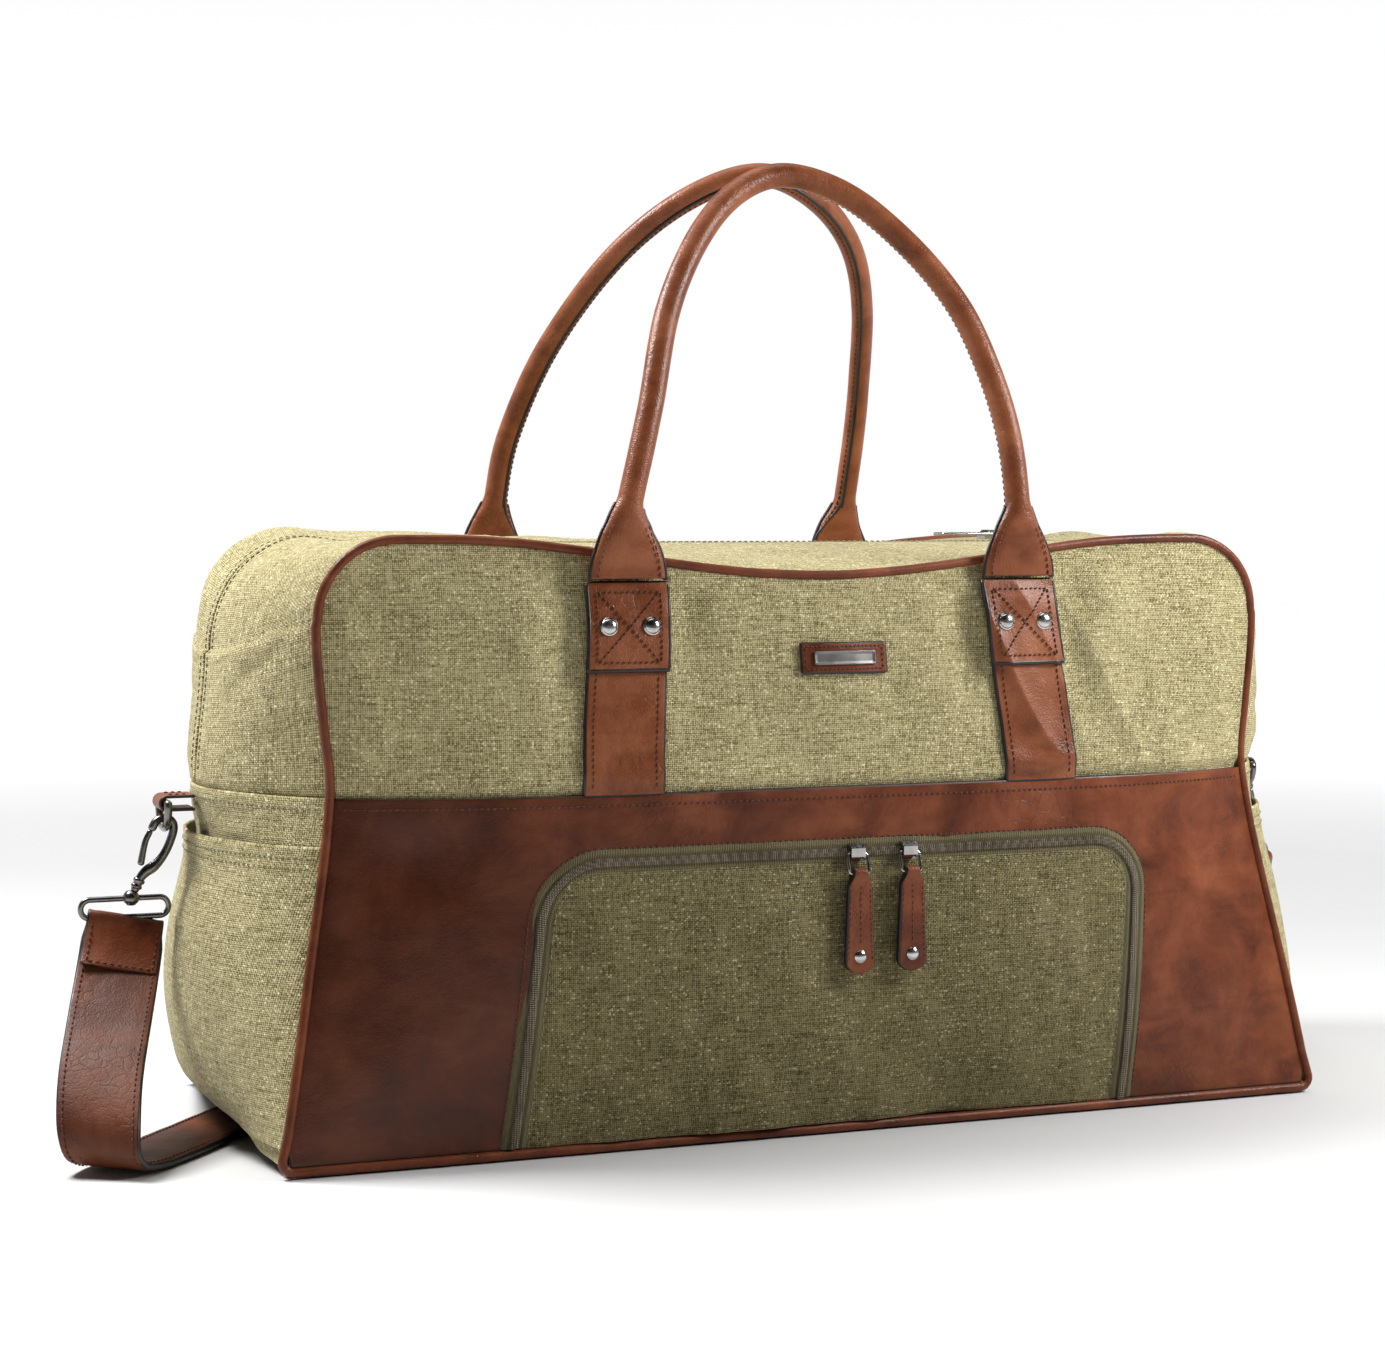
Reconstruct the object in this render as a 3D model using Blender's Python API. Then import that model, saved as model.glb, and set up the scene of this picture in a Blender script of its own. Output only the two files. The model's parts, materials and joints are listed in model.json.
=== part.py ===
"""Canvas and leather duffel bag, built from its separate sewn and metal pieces.

Frame: metres, +Z up. +X runs along the bag's length, the front panel faces -Y and the
base rests on Z = 0 below the origin. Lower pieces stand still; everything above the fold
line belongs to the two halves of the mouth, which part at the main zip.
"""
import math

import bmesh
import bpy
import numpy as np
from mathutils import Vector

MM = 0.001
GAP = 0.4 * MM                      # clearance kept between neighbouring pieces

# Body: half sizes against height
FOLD_Z = 0.165                      # level where the mouth halves start
BELLY_PROFILE = ((0.0, 0.113), (0.05, 0.120), (0.11, 0.122), (0.165, 0.120),
                 (0.22, 0.112), (0.25, 0.106), (0.285, 0.092))
EDGE_PROFILE = ((0.0, 0.113), (0.05, 0.107), (0.11, 0.097), (0.165, 0.090),
                (0.22, 0.089), (0.25, 0.089), (0.285, 0.088))
SEAM_PROFILE = ((0.0, 0.2655), (0.08, 0.251), (0.165, 0.237), (0.20, 0.2395),
                (0.23, 0.2422), (0.25, 0.2424), (0.285, 0.2416))
END_PROFILE = ((0.0, 0.266), (0.012, 0.272), (0.03, 0.276), (0.08, 0.277),
               (0.143, 0.2765), (0.165, 0.280), (0.22, 0.275), (0.285, 0.272))
END_POCKET_BULGE = ((0.012, 0.0), (0.03, 0.006), (0.07, 0.012), (0.11, 0.009), (0.143, 0.008))
TOP_CENTRE_Z = 0.264                # panel top at mid length, where it sags
TOP_SHOULDER_Z = 0.281              # panel top near its rounded corners
SHOULDER_X = 0.19
PANEL_CORNER = 0.036
ZIP_TOP_Z = 0.279
ZIP_CORNER = 0.050
PIPING_RADIUS = 2.4 * MM
PIPING_ROOM = 3.2 * MM              # from the piping's centre to the edges it joins
LEATHER = 2.5 * MM
CANVAS = 2.0 * MM

# The strap runs under the two rear corners, which ride over it
CORNER_LIFT = 5.2 * MM
STRAP_HEADING = Vector((0.64, 0.77, 0.0)).normalized()
STRAP_CROSSING = Vector((-0.280, -0.013, 0.0))

# Front pocket
POCKET_X = 0.009
POCKET_HALF = 0.158
POCKET_TOP = 0.1405
POCKET_CORNER = 0.032
POCKET_FOOT = 0.0085
FLAP_BULGE = 3.0 * MM
SLIDER_GAP = 27.0 * MM            # between the two pocket sliders
SLIDER_MIDDLE = 0.0195
RING_TILT = 2.9 * MM                # how far a hanging pull ring stands off its slider

# Handles and their fixings
TAB_X = 0.1005
STRIP_X = 0.107
STRIP_WIDTH = 0.037
TAB_TOP = 0.2600
TAB_FOOT = 0.2215
HANDLE_AXIS_Y = 0.1095
HANDLE_AXIS_Z = 0.2630
MOUTH_HINGE_Y = 0.1250
GRIP_RADIUS = 6.0 * MM

# Shoulder strap and its hardware
STRAP_WIDTH = 0.038
STRAP_THICK = 3.4 * MM
RING_X = 0.2945
CHAPE_ROOT_X = 0.2818
RING_BAR_Z = 0.1576
RING_BOW_Z = 0.1455
WIRE = 1.7 * MM
HOOK_LEAN = {-1: math.radians(26.0), 1: math.radians(13.0)}
SWIVEL_TURN = {-1: 0.0, 1: math.radians(45.0)}      # each strap end twists by this much
SWIVEL_OUT = 3.0 * MM
BALL_DROP = 0.036


def clear_scene():
    for item in list(bpy.data.objects):
        bpy.data.objects.remove(item, do_unlink=True)


def make_material(name, colour, roughness, metallic=0.0):
    """Return a Principled material."""
    material = bpy.data.materials.new(name)
    material.use_nodes = True
    shader = material.node_tree.nodes["Principled BSDF"]
    shader.inputs["Base Color"].default_value = (*colour, 1.0)
    shader.inputs["Roughness"].default_value = roughness
    shader.inputs["Metallic"].default_value = metallic
    return material


FINISHES = {
    "leather": ((0.23, 0.075, 0.032), 0.45, 0.0),
    "canvas": ((0.34, 0.31, 0.16), 0.9, 0.0),
    "dark_canvas": ((0.24, 0.22, 0.11), 0.9, 0.0),
    "zip_tape": ((0.08, 0.07, 0.035), 0.8, 0.0),
    "lining": ((0.20, 0.17, 0.12), 0.85, 0.0),
    "board": ((0.30, 0.25, 0.17), 0.8, 0.0),
    "nickel": ((0.55, 0.53, 0.50), 0.25, 1.0),
    "gunmetal": ((0.20, 0.19, 0.18), 0.3, 1.0),
}


def through(points, value):
    """Read a smooth curve through (key, value) pairs at one key."""
    keys = [point[0] for point in points]
    vals = [point[1] for point in points]
    value = min(max(value, keys[0]), keys[-1])
    index = min(max(np.searchsorted(keys, value) - 1, 0), len(keys) - 2)
    span = keys[index + 1] - keys[index]
    t = (value - keys[index]) / span

    def slope(k):
        low = max(k - 1, 0)
        high = min(k + 1, len(keys) - 1)
        return (vals[high] - vals[low]) / (keys[high] - keys[low])

    h00 = 2 * t ** 3 - 3 * t ** 2 + 1
    h10 = t ** 3 - 2 * t ** 2 + t
    h01 = -2 * t ** 3 + 3 * t ** 2
    h11 = t ** 3 - t ** 2
    return (h00 * vals[index] + h10 * span * slope(index)
            + h01 * vals[index + 1] + h11 * span * slope(index + 1))


def smoothstep(value):
    value = min(max(value, 0.0), 1.0)
    return value * value * (3.0 - 2.0 * value)


def belly(z):
    """Half depth at the middle of the front and back panels."""
    return through(BELLY_PROFILE, z)


def edge(z):
    """Half depth at the corner seams."""
    return through(EDGE_PROFILE, z)


def face(x, z):
    """Half depth of the pillowy front and back panels at a point."""
    share = min(abs(x) / seam_half(z), 1.0)
    return edge(z) + (belly(z) - edge(z)) * (1 - share ** 4)


def seam_half(z):
    return through(SEAM_PROFILE, z)


def end_half(z):
    return through(END_PROFILE, z)


def lift(x, y):
    """How far the underside is raised where the strap is trapped, at both rear corners."""
    across = Vector((-STRAP_HEADING.y, STRAP_HEADING.x, 0.0))
    offset = across.dot(Vector((-abs(x), y, 0.0)) - STRAP_CROSSING)
    return CORNER_LIFT * smoothstep((offset + 0.052) / 0.022)


def new_object(name, data, finish, pivot):
    """Link an object whose origin sits at the pivot while its shape stays in place."""
    item = bpy.data.objects.new(name, data)
    item.location = pivot
    data.materials.append(MATERIALS[finish])
    bpy.context.scene.collection.objects.link(item)
    return item


def mesh_object(name, verts, faces, finish, pivot=(0, 0, 0)):
    """Make a mesh object from world-space points."""
    shift = Vector(pivot)
    mesh = bpy.data.meshes.new(name)
    mesh.from_pydata([Vector(v) - shift for v in verts], [], faces)
    mesh.validate()
    shape = bmesh.new()
    shape.from_mesh(mesh)
    bmesh.ops.recalc_face_normals(shape, faces=shape.faces)
    shape.to_mesh(mesh)
    shape.free()
    mesh.shade_smooth()
    mesh.set_sharp_from_angle(angle=math.radians(40))
    return new_object(name, mesh, finish, pivot)


def sheet(name, surface, us, vs, thickness, finish, pivot=(0, 0, 0), outward=None, offset=-1.0):
    """Sew one sheet: a grid of surface(u, v) points given a thickness behind its outer face."""
    verts = [Vector(surface(u, v)) for v in vs for u in us]
    wide = len(us)
    faces = []
    for row in range(len(vs) - 1):
        for col in range(wide - 1):
            first = row * wide + col
            faces.append((first, first + 1, first + wide + 1, first + wide))
    if outward is not None:
        a, b, c = (verts[i] for i in faces[len(faces) // 2][:3])
        if (b - a).cross(c - b).dot(Vector(outward)) < 0:
            faces = [tuple(reversed(face)) for face in faces]
    shift = Vector(pivot)
    mesh = bpy.data.meshes.new(name)
    mesh.from_pydata([v - shift for v in verts], [], faces)
    mesh.shade_smooth()
    item = new_object(name, mesh, finish, pivot)
    solid = item.modifiers.new("Thickness", "SOLIDIFY")
    solid.thickness = thickness
    solid.offset = offset
    return item


def steps(start, stop, count):
    return [start + (stop - start) * k / count for k in range(count + 1)]


def spline(points, per_span):
    """Catmull-Rom curve through control points."""
    pts = [Vector(p) for p in points]
    padded = [2 * pts[0] - pts[1], *pts, 2 * pts[-1] - pts[-2]]
    out = []
    for k in range(len(pts) - 1):
        p0, p1, p2, p3 = padded[k:k + 4]
        for step in range(per_span):
            t = step / per_span
            out.append(0.5 * (2 * p1 + (p2 - p0) * t + (2 * p0 - 5 * p1 + 4 * p2 - p3) * t ** 2
                              + (3 * p1 - p0 - 3 * p2 + p3) * t ** 3))
    out.append(pts[-1])
    return out


def rod(name, points, radius, finish, pivot=(0, 0, 0), closed=False, resolution=2):
    """A round rod or wire along a path, as a bevelled curve."""
    curve = bpy.data.curves.new(name, "CURVE")
    curve.dimensions = "3D"
    curve.bevel_depth = radius
    curve.bevel_resolution = resolution
    curve.use_fill_caps = not closed
    line = curve.splines.new("POLY")
    line.points.add(len(points) - 1)
    shift = Vector(pivot)
    for target, source in zip(line.points, points):
        target.co = (*(Vector(source) - shift), 1.0)
    line.use_cyclic_u = closed
    return new_object(name, curve, finish, pivot)


def loft(name, rings, finish, pivot=(0, 0, 0), closed=False):
    """Skin a list of equal point rings into one closed solid."""
    verts = [p for ring in rings for p in ring]
    size = len(rings[0])
    faces = []
    spans = len(rings) if closed else len(rings) - 1
    for k in range(spans):
        here = k * size
        there = ((k + 1) % len(rings)) * size
        for j in range(size):
            nxt = (j + 1) % size
            faces.append((here + j, here + nxt, there + nxt, there + j))
    if not closed:
        faces.append(tuple(range(size)))
        faces.append(tuple(range(len(verts) - size, len(verts))))
    return mesh_object(name, verts, faces, finish, pivot)


def wire_rings(points, radius, side, count=8, closed=True):
    """Circles of wire along a planar path whose plane is normal to `side`."""
    rings = []
    total = len(points)
    side = Vector(side).normalized()
    for k, point in enumerate(points):
        before = points[k - 1] if closed or k else points[k]
        after = points[(k + 1) % total] if closed or k < total - 1 else points[k]
        along = (Vector(after) - Vector(before)).normalized()
        normal = side.cross(along).normalized()
        rings.append([Vector(point) + radius * (math.cos(a) * normal + math.sin(a) * side)
                      for a in (2 * math.pi * j / count for j in range(count))])
    return rings


def prism(name, outline, axis, low, high, finish, pivot=(0, 0, 0), bevel=0.0):
    """Extrude a closed outline of (a, b) points along one world axis."""
    def place(a, b, c):
        return {"X": (c, a, b), "Y": (a, c, b), "Z": (a, b, c)}[axis]
    count = len(outline)
    verts = [place(a, b, low) for a, b in outline] + [place(a, b, high) for a, b in outline]
    faces = [tuple(range(count)), tuple(range(count, 2 * count))]
    for k in range(count):
        nxt = (k + 1) % count
        faces.append((k, nxt, count + nxt, count + k))
    item = mesh_object(name, verts, faces, finish, pivot)
    if bevel:
        edge = item.modifiers.new("Edges", "BEVEL")
        edge.width = bevel
        edge.segments = 1
        edge.limit_method = "ANGLE"
    return item


def dome(name, centre, axis, radius, height, finish, pivot=None, segments=12):
    """A domed rivet cap: a flat back at the centre, bulging along the axis."""
    centre = Vector(centre)
    axis = Vector(axis).normalized()
    side = axis.orthogonal().normalized()
    other = axis.cross(side)
    profile = ((1.0, 0.0), (1.0, 0.30), (0.82, 0.68), (0.45, 0.93))
    rings = [[centre + radius * r * (math.cos(a) * side + math.sin(a) * other) + height * h * axis
              for a in (2 * math.pi * j / segments for j in range(segments))]
             for r, h in profile]
    return loft(name, rings, finish, pivot if pivot is not None else centre)


def cut(item, cutter, operation="DIFFERENCE"):
    """Boolean with a cutter that stays in the file as a hidden guide."""
    step = item.modifiers.new("Cut", "BOOLEAN")
    step.operation = operation
    step.solver = "EXACT"
    step.object = cutter
    cutter.hide_render = True
    cutter.display_type = "WIRE"


def round_top(x, half, top, radius):
    """Height of an outline with rounded top corners, at one x."""
    inside = half - radius
    over = max(abs(x) - inside, 0.0)
    over = min(over, radius)
    return top - radius + math.sqrt(max(radius ** 2 - over ** 2, 0.0))


def panel_top(x, inset=0.0):
    """Top edge of the front or back panel: sagging middle, rounded corners."""
    near = min(abs(x), SHOULDER_X) / SHOULDER_X
    sag = TOP_CENTRE_Z + (TOP_SHOULDER_Z - TOP_CENTRE_Z) * (1 - math.cos(math.pi * near)) / 2
    half = seam_half(TOP_SHOULDER_Z) - inset
    drop = TOP_SHOULDER_Z - round_top(x, half, TOP_SHOULDER_Z, PANEL_CORNER - inset)
    return sag - inset - drop


def corner_spaced(half, radius, flat_count, corner_count):
    """Positions across a width, closer together over its rounded corners."""
    inner = half - radius
    arc = [inner + radius * math.sin(math.pi / 2 * k / corner_count)
           for k in range(1, corner_count + 1)]
    return [-x for x in reversed(arc)] + steps(-inner, inner, flat_count) + arc


def arch(half_at, top_at, radius, side_count=4, corner_count=5, top_count=12):
    """Points (x, z) up one side, round the corners and over the top, left to right."""
    half_top = half_at(TOP_SHOULDER_Z)
    left = []
    shoulder = top_at(-(half_top - radius)) - radius
    for z in steps(FOLD_Z + 1.6 * MM, shoulder, side_count)[:-1]:
        left.append((-half_at(z), z))
    for k in range(corner_count):
        angle = math.pi / 2 * k / corner_count
        left.append((-(half_top - radius) - radius * math.cos(angle),
                     shoulder + radius * math.sin(angle)))
    top = [(x, top_at(x)) for x in steps(-(half_top - radius), half_top - radius, top_count)]
    return left + top + [(-x, z) for x, z in reversed(left)]


def panel_arch():
    return arch(seam_half, lambda x: panel_top(min(abs(x), seam_half(0.285) - PANEL_CORNER)),
                PANEL_CORNER)


def zip_arch():
    return arch(end_half, lambda x: ZIP_TOP_Z, ZIP_CORNER)


# ---------------------------------------------------------------- lower body

def end_surface(side, extra=0.0):
    """Outer face of an end between the two seams, bulging most at its middle."""
    def surface(v, u):
        z = v
        y = u * (edge(z) - PIPING_ROOM)
        swell = math.cos(math.pi / 2 * u) ** 0.8 if abs(u) < 1 else 0.0
        x = seam_half(z) + (end_half(z) - seam_half(z)) * swell
        rise = lift(x, y) * smoothstep(1.0 - z / 0.03)
        return Vector((side * (x + extra), y, z + rise))
    return surface


def build_base():
    def underside(u, v):
        return Vector((u, v, lift(u, v)))
    half_x = seam_half(0.0) - 0.008
    half_y = belly(0.0) - 0.005
    sheet("base_panel", underside, steps(-half_x, half_x, 26), steps(-half_y, half_y, 10),
          LEATHER, "leather", outward=(0, 0, -1))
    prism("base_board", [(-0.236, -0.086), (0.236, -0.086), (0.236, 0.086), (-0.236, 0.086)],
          "Z", 0.0079, 0.0101, "board")


def build_bands():
    def band(side):
        def surface(u, v):
            z = v
            x = u * (seam_half(z) - PIPING_ROOM - 2.5 * MM * smoothstep((0.013 - z) / 0.007))
            rise = lift(x, side * belly(0.0)) * smoothstep(1.0 - z / 0.04)
            return Vector((x, side * face(x, z), z + rise))
        return surface
    heights = steps(0.0056, FOLD_Z - 1.0 * MM, 8)
    sheet("back_band", band(1), steps(-1, 1, 22), heights, LEATHER, "leather", outward=(0, 1, 0))
    front = sheet("front_band", band(-1), steps(-1, 1, 20), heights, LEATHER, "leather",
                  outward=(0, -1, 0))
    half = POCKET_HALF
    arc = [((half - POCKET_CORNER) + POCKET_CORNER * math.sin(a),
            POCKET_TOP - POCKET_CORNER + POCKET_CORNER * math.cos(a))
           for a in (math.pi / 2 * k / 6 for k in range(7))]
    mirrored = [(-x, z) for x, z in reversed(arc)]
    outline = [(-half, -0.02), *mirrored, *arc, (half, -0.02)]
    outline = [(pocket_lean(x, z), z) for x, z in outline]
    cutter = prism("pocket_cutter", outline, "Y", -0.14, -0.085, "leather")
    cut(front, cutter)


def build_ends():
    for side, word in ((-1, "left"), (1, "right")):
        spread = [-1, -0.93, -0.8, -0.6, -0.35, -0.1, 0.1, 0.35, 0.6, 0.8, 0.93, 1]
        heights = [0.0056, 0.010, 0.016, 0.026, 0.045, 0.075, 0.11, 0.143, FOLD_Z - 1.0 * MM]
        sheet(f"{word}_end_panel", end_surface(side), heights, spread, CANVAS, "canvas",
              outward=(side, 0, 0))

        def pocket(v, u, side=side):
            y = u * (edge(v) - 8 * MM)
            share = y / (edge(v) - PIPING_ROOM)
            base = end_surface(side)(v, share)
            open_up = through(END_POCKET_BULGE, v) * (1 - abs(u) ** 3)
            base.x += side * (2 * GAP + CANVAS + open_up)
            return base
        sheet(f"{word}_end_pocket", pocket, [0.013, 0.022, 0.035, 0.055, 0.085, 0.115, 0.143],
              [-1, -0.93, -0.8, -0.55, -0.25, 0, 0.25, 0.55, 0.8, 0.93, 1],
              1.8 * MM, "canvas", outward=(side, 0, 0))


def build_linings():
    wall = 1.2 * MM

    def loop(inset, z):
        half_y = min(edge(z) - 7.5 * MM, 0.0932) - inset
        ring = []
        for hand in (1, -1):
            for k in range(9):
                u = hand * (k - 4) / 4
                swell = max(math.cos(math.pi / 2 * u), 0.0) ** 0.8
                x = seam_half(z) - 5 * MM - inset + (end_half(z) - seam_half(z)) * swell
                ring.append(Vector((hand * x, u * half_y, z)))
        return ring
    foot = 0.0108
    top = FOLD_Z - 1.0 * MM
    levels = (0.03, 0.085, 0.13)
    rings = [loop(0, foot), *(loop(0, z) for z in levels), loop(0, top), loop(wall, top),
             *(loop(wall, z) for z in reversed(levels)), loop(wall, foot + wall)]
    loft("main_lining", rings, "lining")

    tray_x = 0.138
    tray_low = 0.012
    tray_high = 0.121
    back_y = -0.0958
    slope = 1.6 * MM

    def tray(u, v):
        rim = u in (-tray_x, tray_x) or v in (tray_low, tray_high)
        y = -face(POCKET_X + u, v) + LEATHER + 2.2 * MM if rim else back_y
        return Vector((POCKET_X + u, y, v))
    us = [-tray_x, *steps(-tray_x + slope, tray_x - slope, 6), tray_x]
    vs = [tray_low, *steps(tray_low + slope, tray_high - slope, 3), tray_high]
    sheet("pocket_lining", tray, us, vs, 1.0 * MM, "lining", outward=(0, -1, 0))


def build_lower_piping():
    for side, word in ((-1, "front"), (1, "back")):
        corner = 0.005
        half = seam_half(0.0) - 0.5 * MM
        foot = PIPING_RADIUS + 0.3 * MM
        left = [(-seam_half(z), z) for z in steps(FOLD_Z - 1.4 * MM, 0.02, 7)]
        left += [(-half + corner - corner * math.cos(a), foot + corner - corner * math.sin(a))
                 for a in (math.pi / 2 * k / 4 for k in range(5))]
        floor = [(x, foot) for x in steps(-half + corner, half - corner, 22)[1:-1]]
        path = left + floor + [(-x, z) for x, z in reversed(left)]
        points = [Vector((x, side * face(x, z), z + lift(x, side * belly(0)) * smoothstep(1 - z / 0.04)))
                  for x, z in path]
        rod(f"{word}_piping_lower", points, PIPING_RADIUS, "leather")


# ---------------------------------------------------------------- mouth halves

def build_mouth(side, word):
    """One half of the mouth: panel, half gusset, piping and its half of the main zip."""
    out = (0, side, 0)
    pivot = (0, side * MOUTH_HINGE_Y, FOLD_Z)
    half = seam_half(TOP_SHOULDER_Z) - PIPING_ROOM
    across = [x / half for x in corner_spaced(half, PANEL_CORNER - PIPING_ROOM, 12, 4)]

    def panel(u, v):
        foot = FOLD_Z + 1.6 * MM
        top = panel_top(u * half, PIPING_ROOM)
        z = foot + v * (top - foot)
        x = u * (seam_half(z) - PIPING_ROOM)
        return Vector((x, side * face(x, z), z))
    sheet(f"{word}_upper_panel", panel, across, steps(0, 1, 6), CANVAS, "canvas", pivot, out)

    outer = panel_arch()
    inner = zip_arch()
    count = len(outer)

    def gusset(k, t):
        ax, az = outer[k]
        bx, bz = inner[k]
        swell = math.sin(math.pi / 2 * t) ** 0.85
        y = (face(ax, az) - PIPING_ROOM) * (1 - t) + 5.6 * MM * t
        return Vector((ax + (bx - ax) * swell, side * y, az + (bz - az) * swell))
    order = list(range(count))
    sheet(f"{word}_top_gusset", gusset, order, [0, 0.12, 0.3, 0.5, 0.75, 1], CANVAS, "canvas",
          pivot, (0, 0, 1))

    points = [Vector((x, side * face(x, z), z)) for x, z in outer]
    rod(f"{word}_piping_upper", points, PIPING_RADIUS, "leather", pivot)

    def tape(k, t):
        x, z = inner[k]
        return Vector((x, side * (0.4 * MM + t * 4.6 * MM), z))
    sheet(f"main_zip_{word}", tape, order, [0, 1], 1.8 * MM, "zip_tape", pivot, (0, 0, 1))


def strip_surface(side, middle_x, extra):
    def surface(u, v):
        share = (v - FOLD_Z) / (TAB_TOP - FOLD_Z)
        centre = STRIP_X + (TAB_X - STRIP_X) * smoothstep(share)
        x = middle_x * centre + u * STRIP_WIDTH / 2
        return Vector((x, side * (face(x, v) + extra), v))
    return surface


def build_handle_fixings(side, word):
    """Leather strips up the panel and the tabs that hold the handle's feet."""
    pivot = (0, side * MOUTH_HINGE_Y, FOLD_Z)
    out = (0, side, 0)
    ply = 1.8 * MM
    for hand, name in ((-1, "left"), (1, "right")):
        high = TAB_TOP
        sheet(f"{word}_{name}_strip", strip_surface(side, hand, GAP + ply), [-1, 1],
              steps(FOLD_Z + 2.2 * MM, high, 8), ply, "leather", pivot, out)
        if word == "back":
            continue
        sheet(f"{word}_{name}_tab", strip_surface(side, hand, 2 * GAP + ply + 2.2 * MM),
              [-1.03, 1.03], steps(TAB_FOOT, TAB_TOP, 4), 2.2 * MM, "leather", pivot, out)
        for order, shift in (("outer", 10.5 * MM), ("inner", -10.5 * MM)):
            x, z = hand * (TAB_X + 0.5 * MM + shift), 0.2415
            y = side * (face(x, z) + 3 * GAP + ply + 2.2 * MM + 0.1 * MM)
            slope = (face(x, z + 0.005) - face(x, z - 0.005)) / 0.01
            dome(f"{word}_{name}_rivet_{order}", (x, y, z), (0, side, -slope), 4.0 * MM, 2.2 * MM,
                 "nickel")


def build_badge():
    """Small blank name patch: stitched leather with a plain metal plate."""
    pivot = (0.005, -0.112, 0.225)

    def patch(extra):
        return lambda u, v: Vector((u, -(face(u, v) + extra), v))
    sheet("badge_patch", patch(GAP + 1.6 * MM), steps(-0.0165, 0.0265, 4), [0.2190, 0.2255, 0.2320],
          1.6 * MM, "leather", pivot, (0, -1, 0))
    sheet("badge_plate", patch(2 * GAP + 2.4 * MM), [-0.0105, 0.0205], [0.2228, 0.2283],
          0.8 * MM, "nickel", pivot, (0, -1, 0))


def build_handle(word, side, top_y, path):
    """Rolled leather grip with flattened, flared feet; path is (x, z) from foot to foot."""
    foot_y = side * (HANDLE_AXIS_Y - 4.0 * MM)
    low = HANDLE_AXIS_Z + 0.2 * MM
    neck = path[0][1]
    crown = max(z for _, z in path)
    left_flare = [(-TAB_X, low), (-TAB_X, low + 0.010), (-TAB_X, low + 0.022)]
    right_flare = [(TAB_X, low + 0.022), (TAB_X, low + 0.010), (TAB_X, low)]
    line = spline([(x, 0, z) for x, z in left_flare + path + right_flare], 2)
    rings = []
    for k, point in enumerate(line):
        before = line[max(k - 1, 0)]
        after = line[min(k + 1, len(line) - 1)]
        along = (after - before).normalized()
        flat = 1.0 - smoothstep((point.z - low) / (neck - low))
        wide = GRIP_RADIUS + (STRIP_WIDTH / 2 - GRIP_RADIUS) * flat ** 0.75
        deep = GRIP_RADIUS - 2.4 * MM * flat
        lean = smoothstep((point.z - low - 0.01) / (crown - low) * 0.5) * 2
        y = foot_y + (top_y - foot_y) * lean
        normal = Vector((along.z, 0, -along.x))
        rings.append([Vector((point.x, y, point.z)) + wide * math.cos(a) * normal
                      + deep * math.sin(a) * Vector((0, 1, 0))
                      for a in (2 * math.pi * j / 10 for j in range(10))])
    loft(f"{word}_handle", rings, "leather", (0, side * HANDLE_AXIS_Y, HANDLE_AXIS_Z))


# ---------------------------------------------------------------- front pocket

def pocket_lean(x, z):
    """The pocket's sides lean to the left going down, and spread a little."""
    down = POCKET_TOP - z
    return POCKET_X + x - 0.085 * down + 0.034 * down * x / POCKET_HALF


def pocket_outline(inset, side_count=5, corner_count=5, top_count=10):
    """Inverted U round the pocket, left foot to right foot, as (x, z)."""
    half = POCKET_HALF - inset
    top = POCKET_TOP - inset
    radius = POCKET_CORNER - inset
    left = [(-half, z) for z in steps(POCKET_FOOT, top - radius, side_count)[:-1]]
    left += [(-half + radius - radius * math.cos(a), top - radius + radius * math.sin(a))
             for a in (math.pi / 2 * k / corner_count for k in range(corner_count))]
    over = [(x, top) for x in steps(-half + radius, half - radius, top_count)]
    path = left + over + [(-x, z) for x, z in reversed(left)]
    return [(pocket_lean(x, z), z) for x, z in path]


def build_pocket_front():
    """The canvas flap and the two halves of the zip round it."""
    pivot = (POCKET_X, -0.1220, 0.0070)
    bands = (("pocket_zip_outer", GAP, 5.4 * MM, (0, 0, 0)),
             ("pocket_zip_inner", 5.9 * MM, 11.0 * MM, pivot))
    for name, near, far, origin in bands:
        rim = pocket_outline(near)
        core = pocket_outline(far)

        def tape(k, t, rim=rim, core=core):
            x = rim[k][0] + (core[k][0] - rim[k][0]) * t
            z = rim[k][1] + (core[k][1] - rim[k][1]) * t
            return Vector((x, -face(x, z) - 0.6 * MM, z))
        sheet(name, tape, list(range(len(rim))), [0, 1], 2.2 * MM, "zip_tape", origin, (0, -1, 0))

    inset = 11.5 * MM
    half = POCKET_HALF - inset
    radius = POCKET_CORNER - inset
    across = [x / half for x in corner_spaced(half, radius, 10, 4)]

    def flap(u, v):
        top = round_top(u * half, half, POCKET_TOP - inset, radius)
        z = POCKET_FOOT + v * (top - POCKET_FOOT)
        swell = FLAP_BULGE * math.sin(math.pi * v) ** 0.7 * (1 - u ** 4)
        x = pocket_lean(u * half, z)
        return Vector((x, -face(x, z) - swell, z))
    sheet("pocket_flap", flap, across, steps(0, 1, 6), CANVAS, "dark_canvas", pivot, (0, -1, 0))


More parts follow.
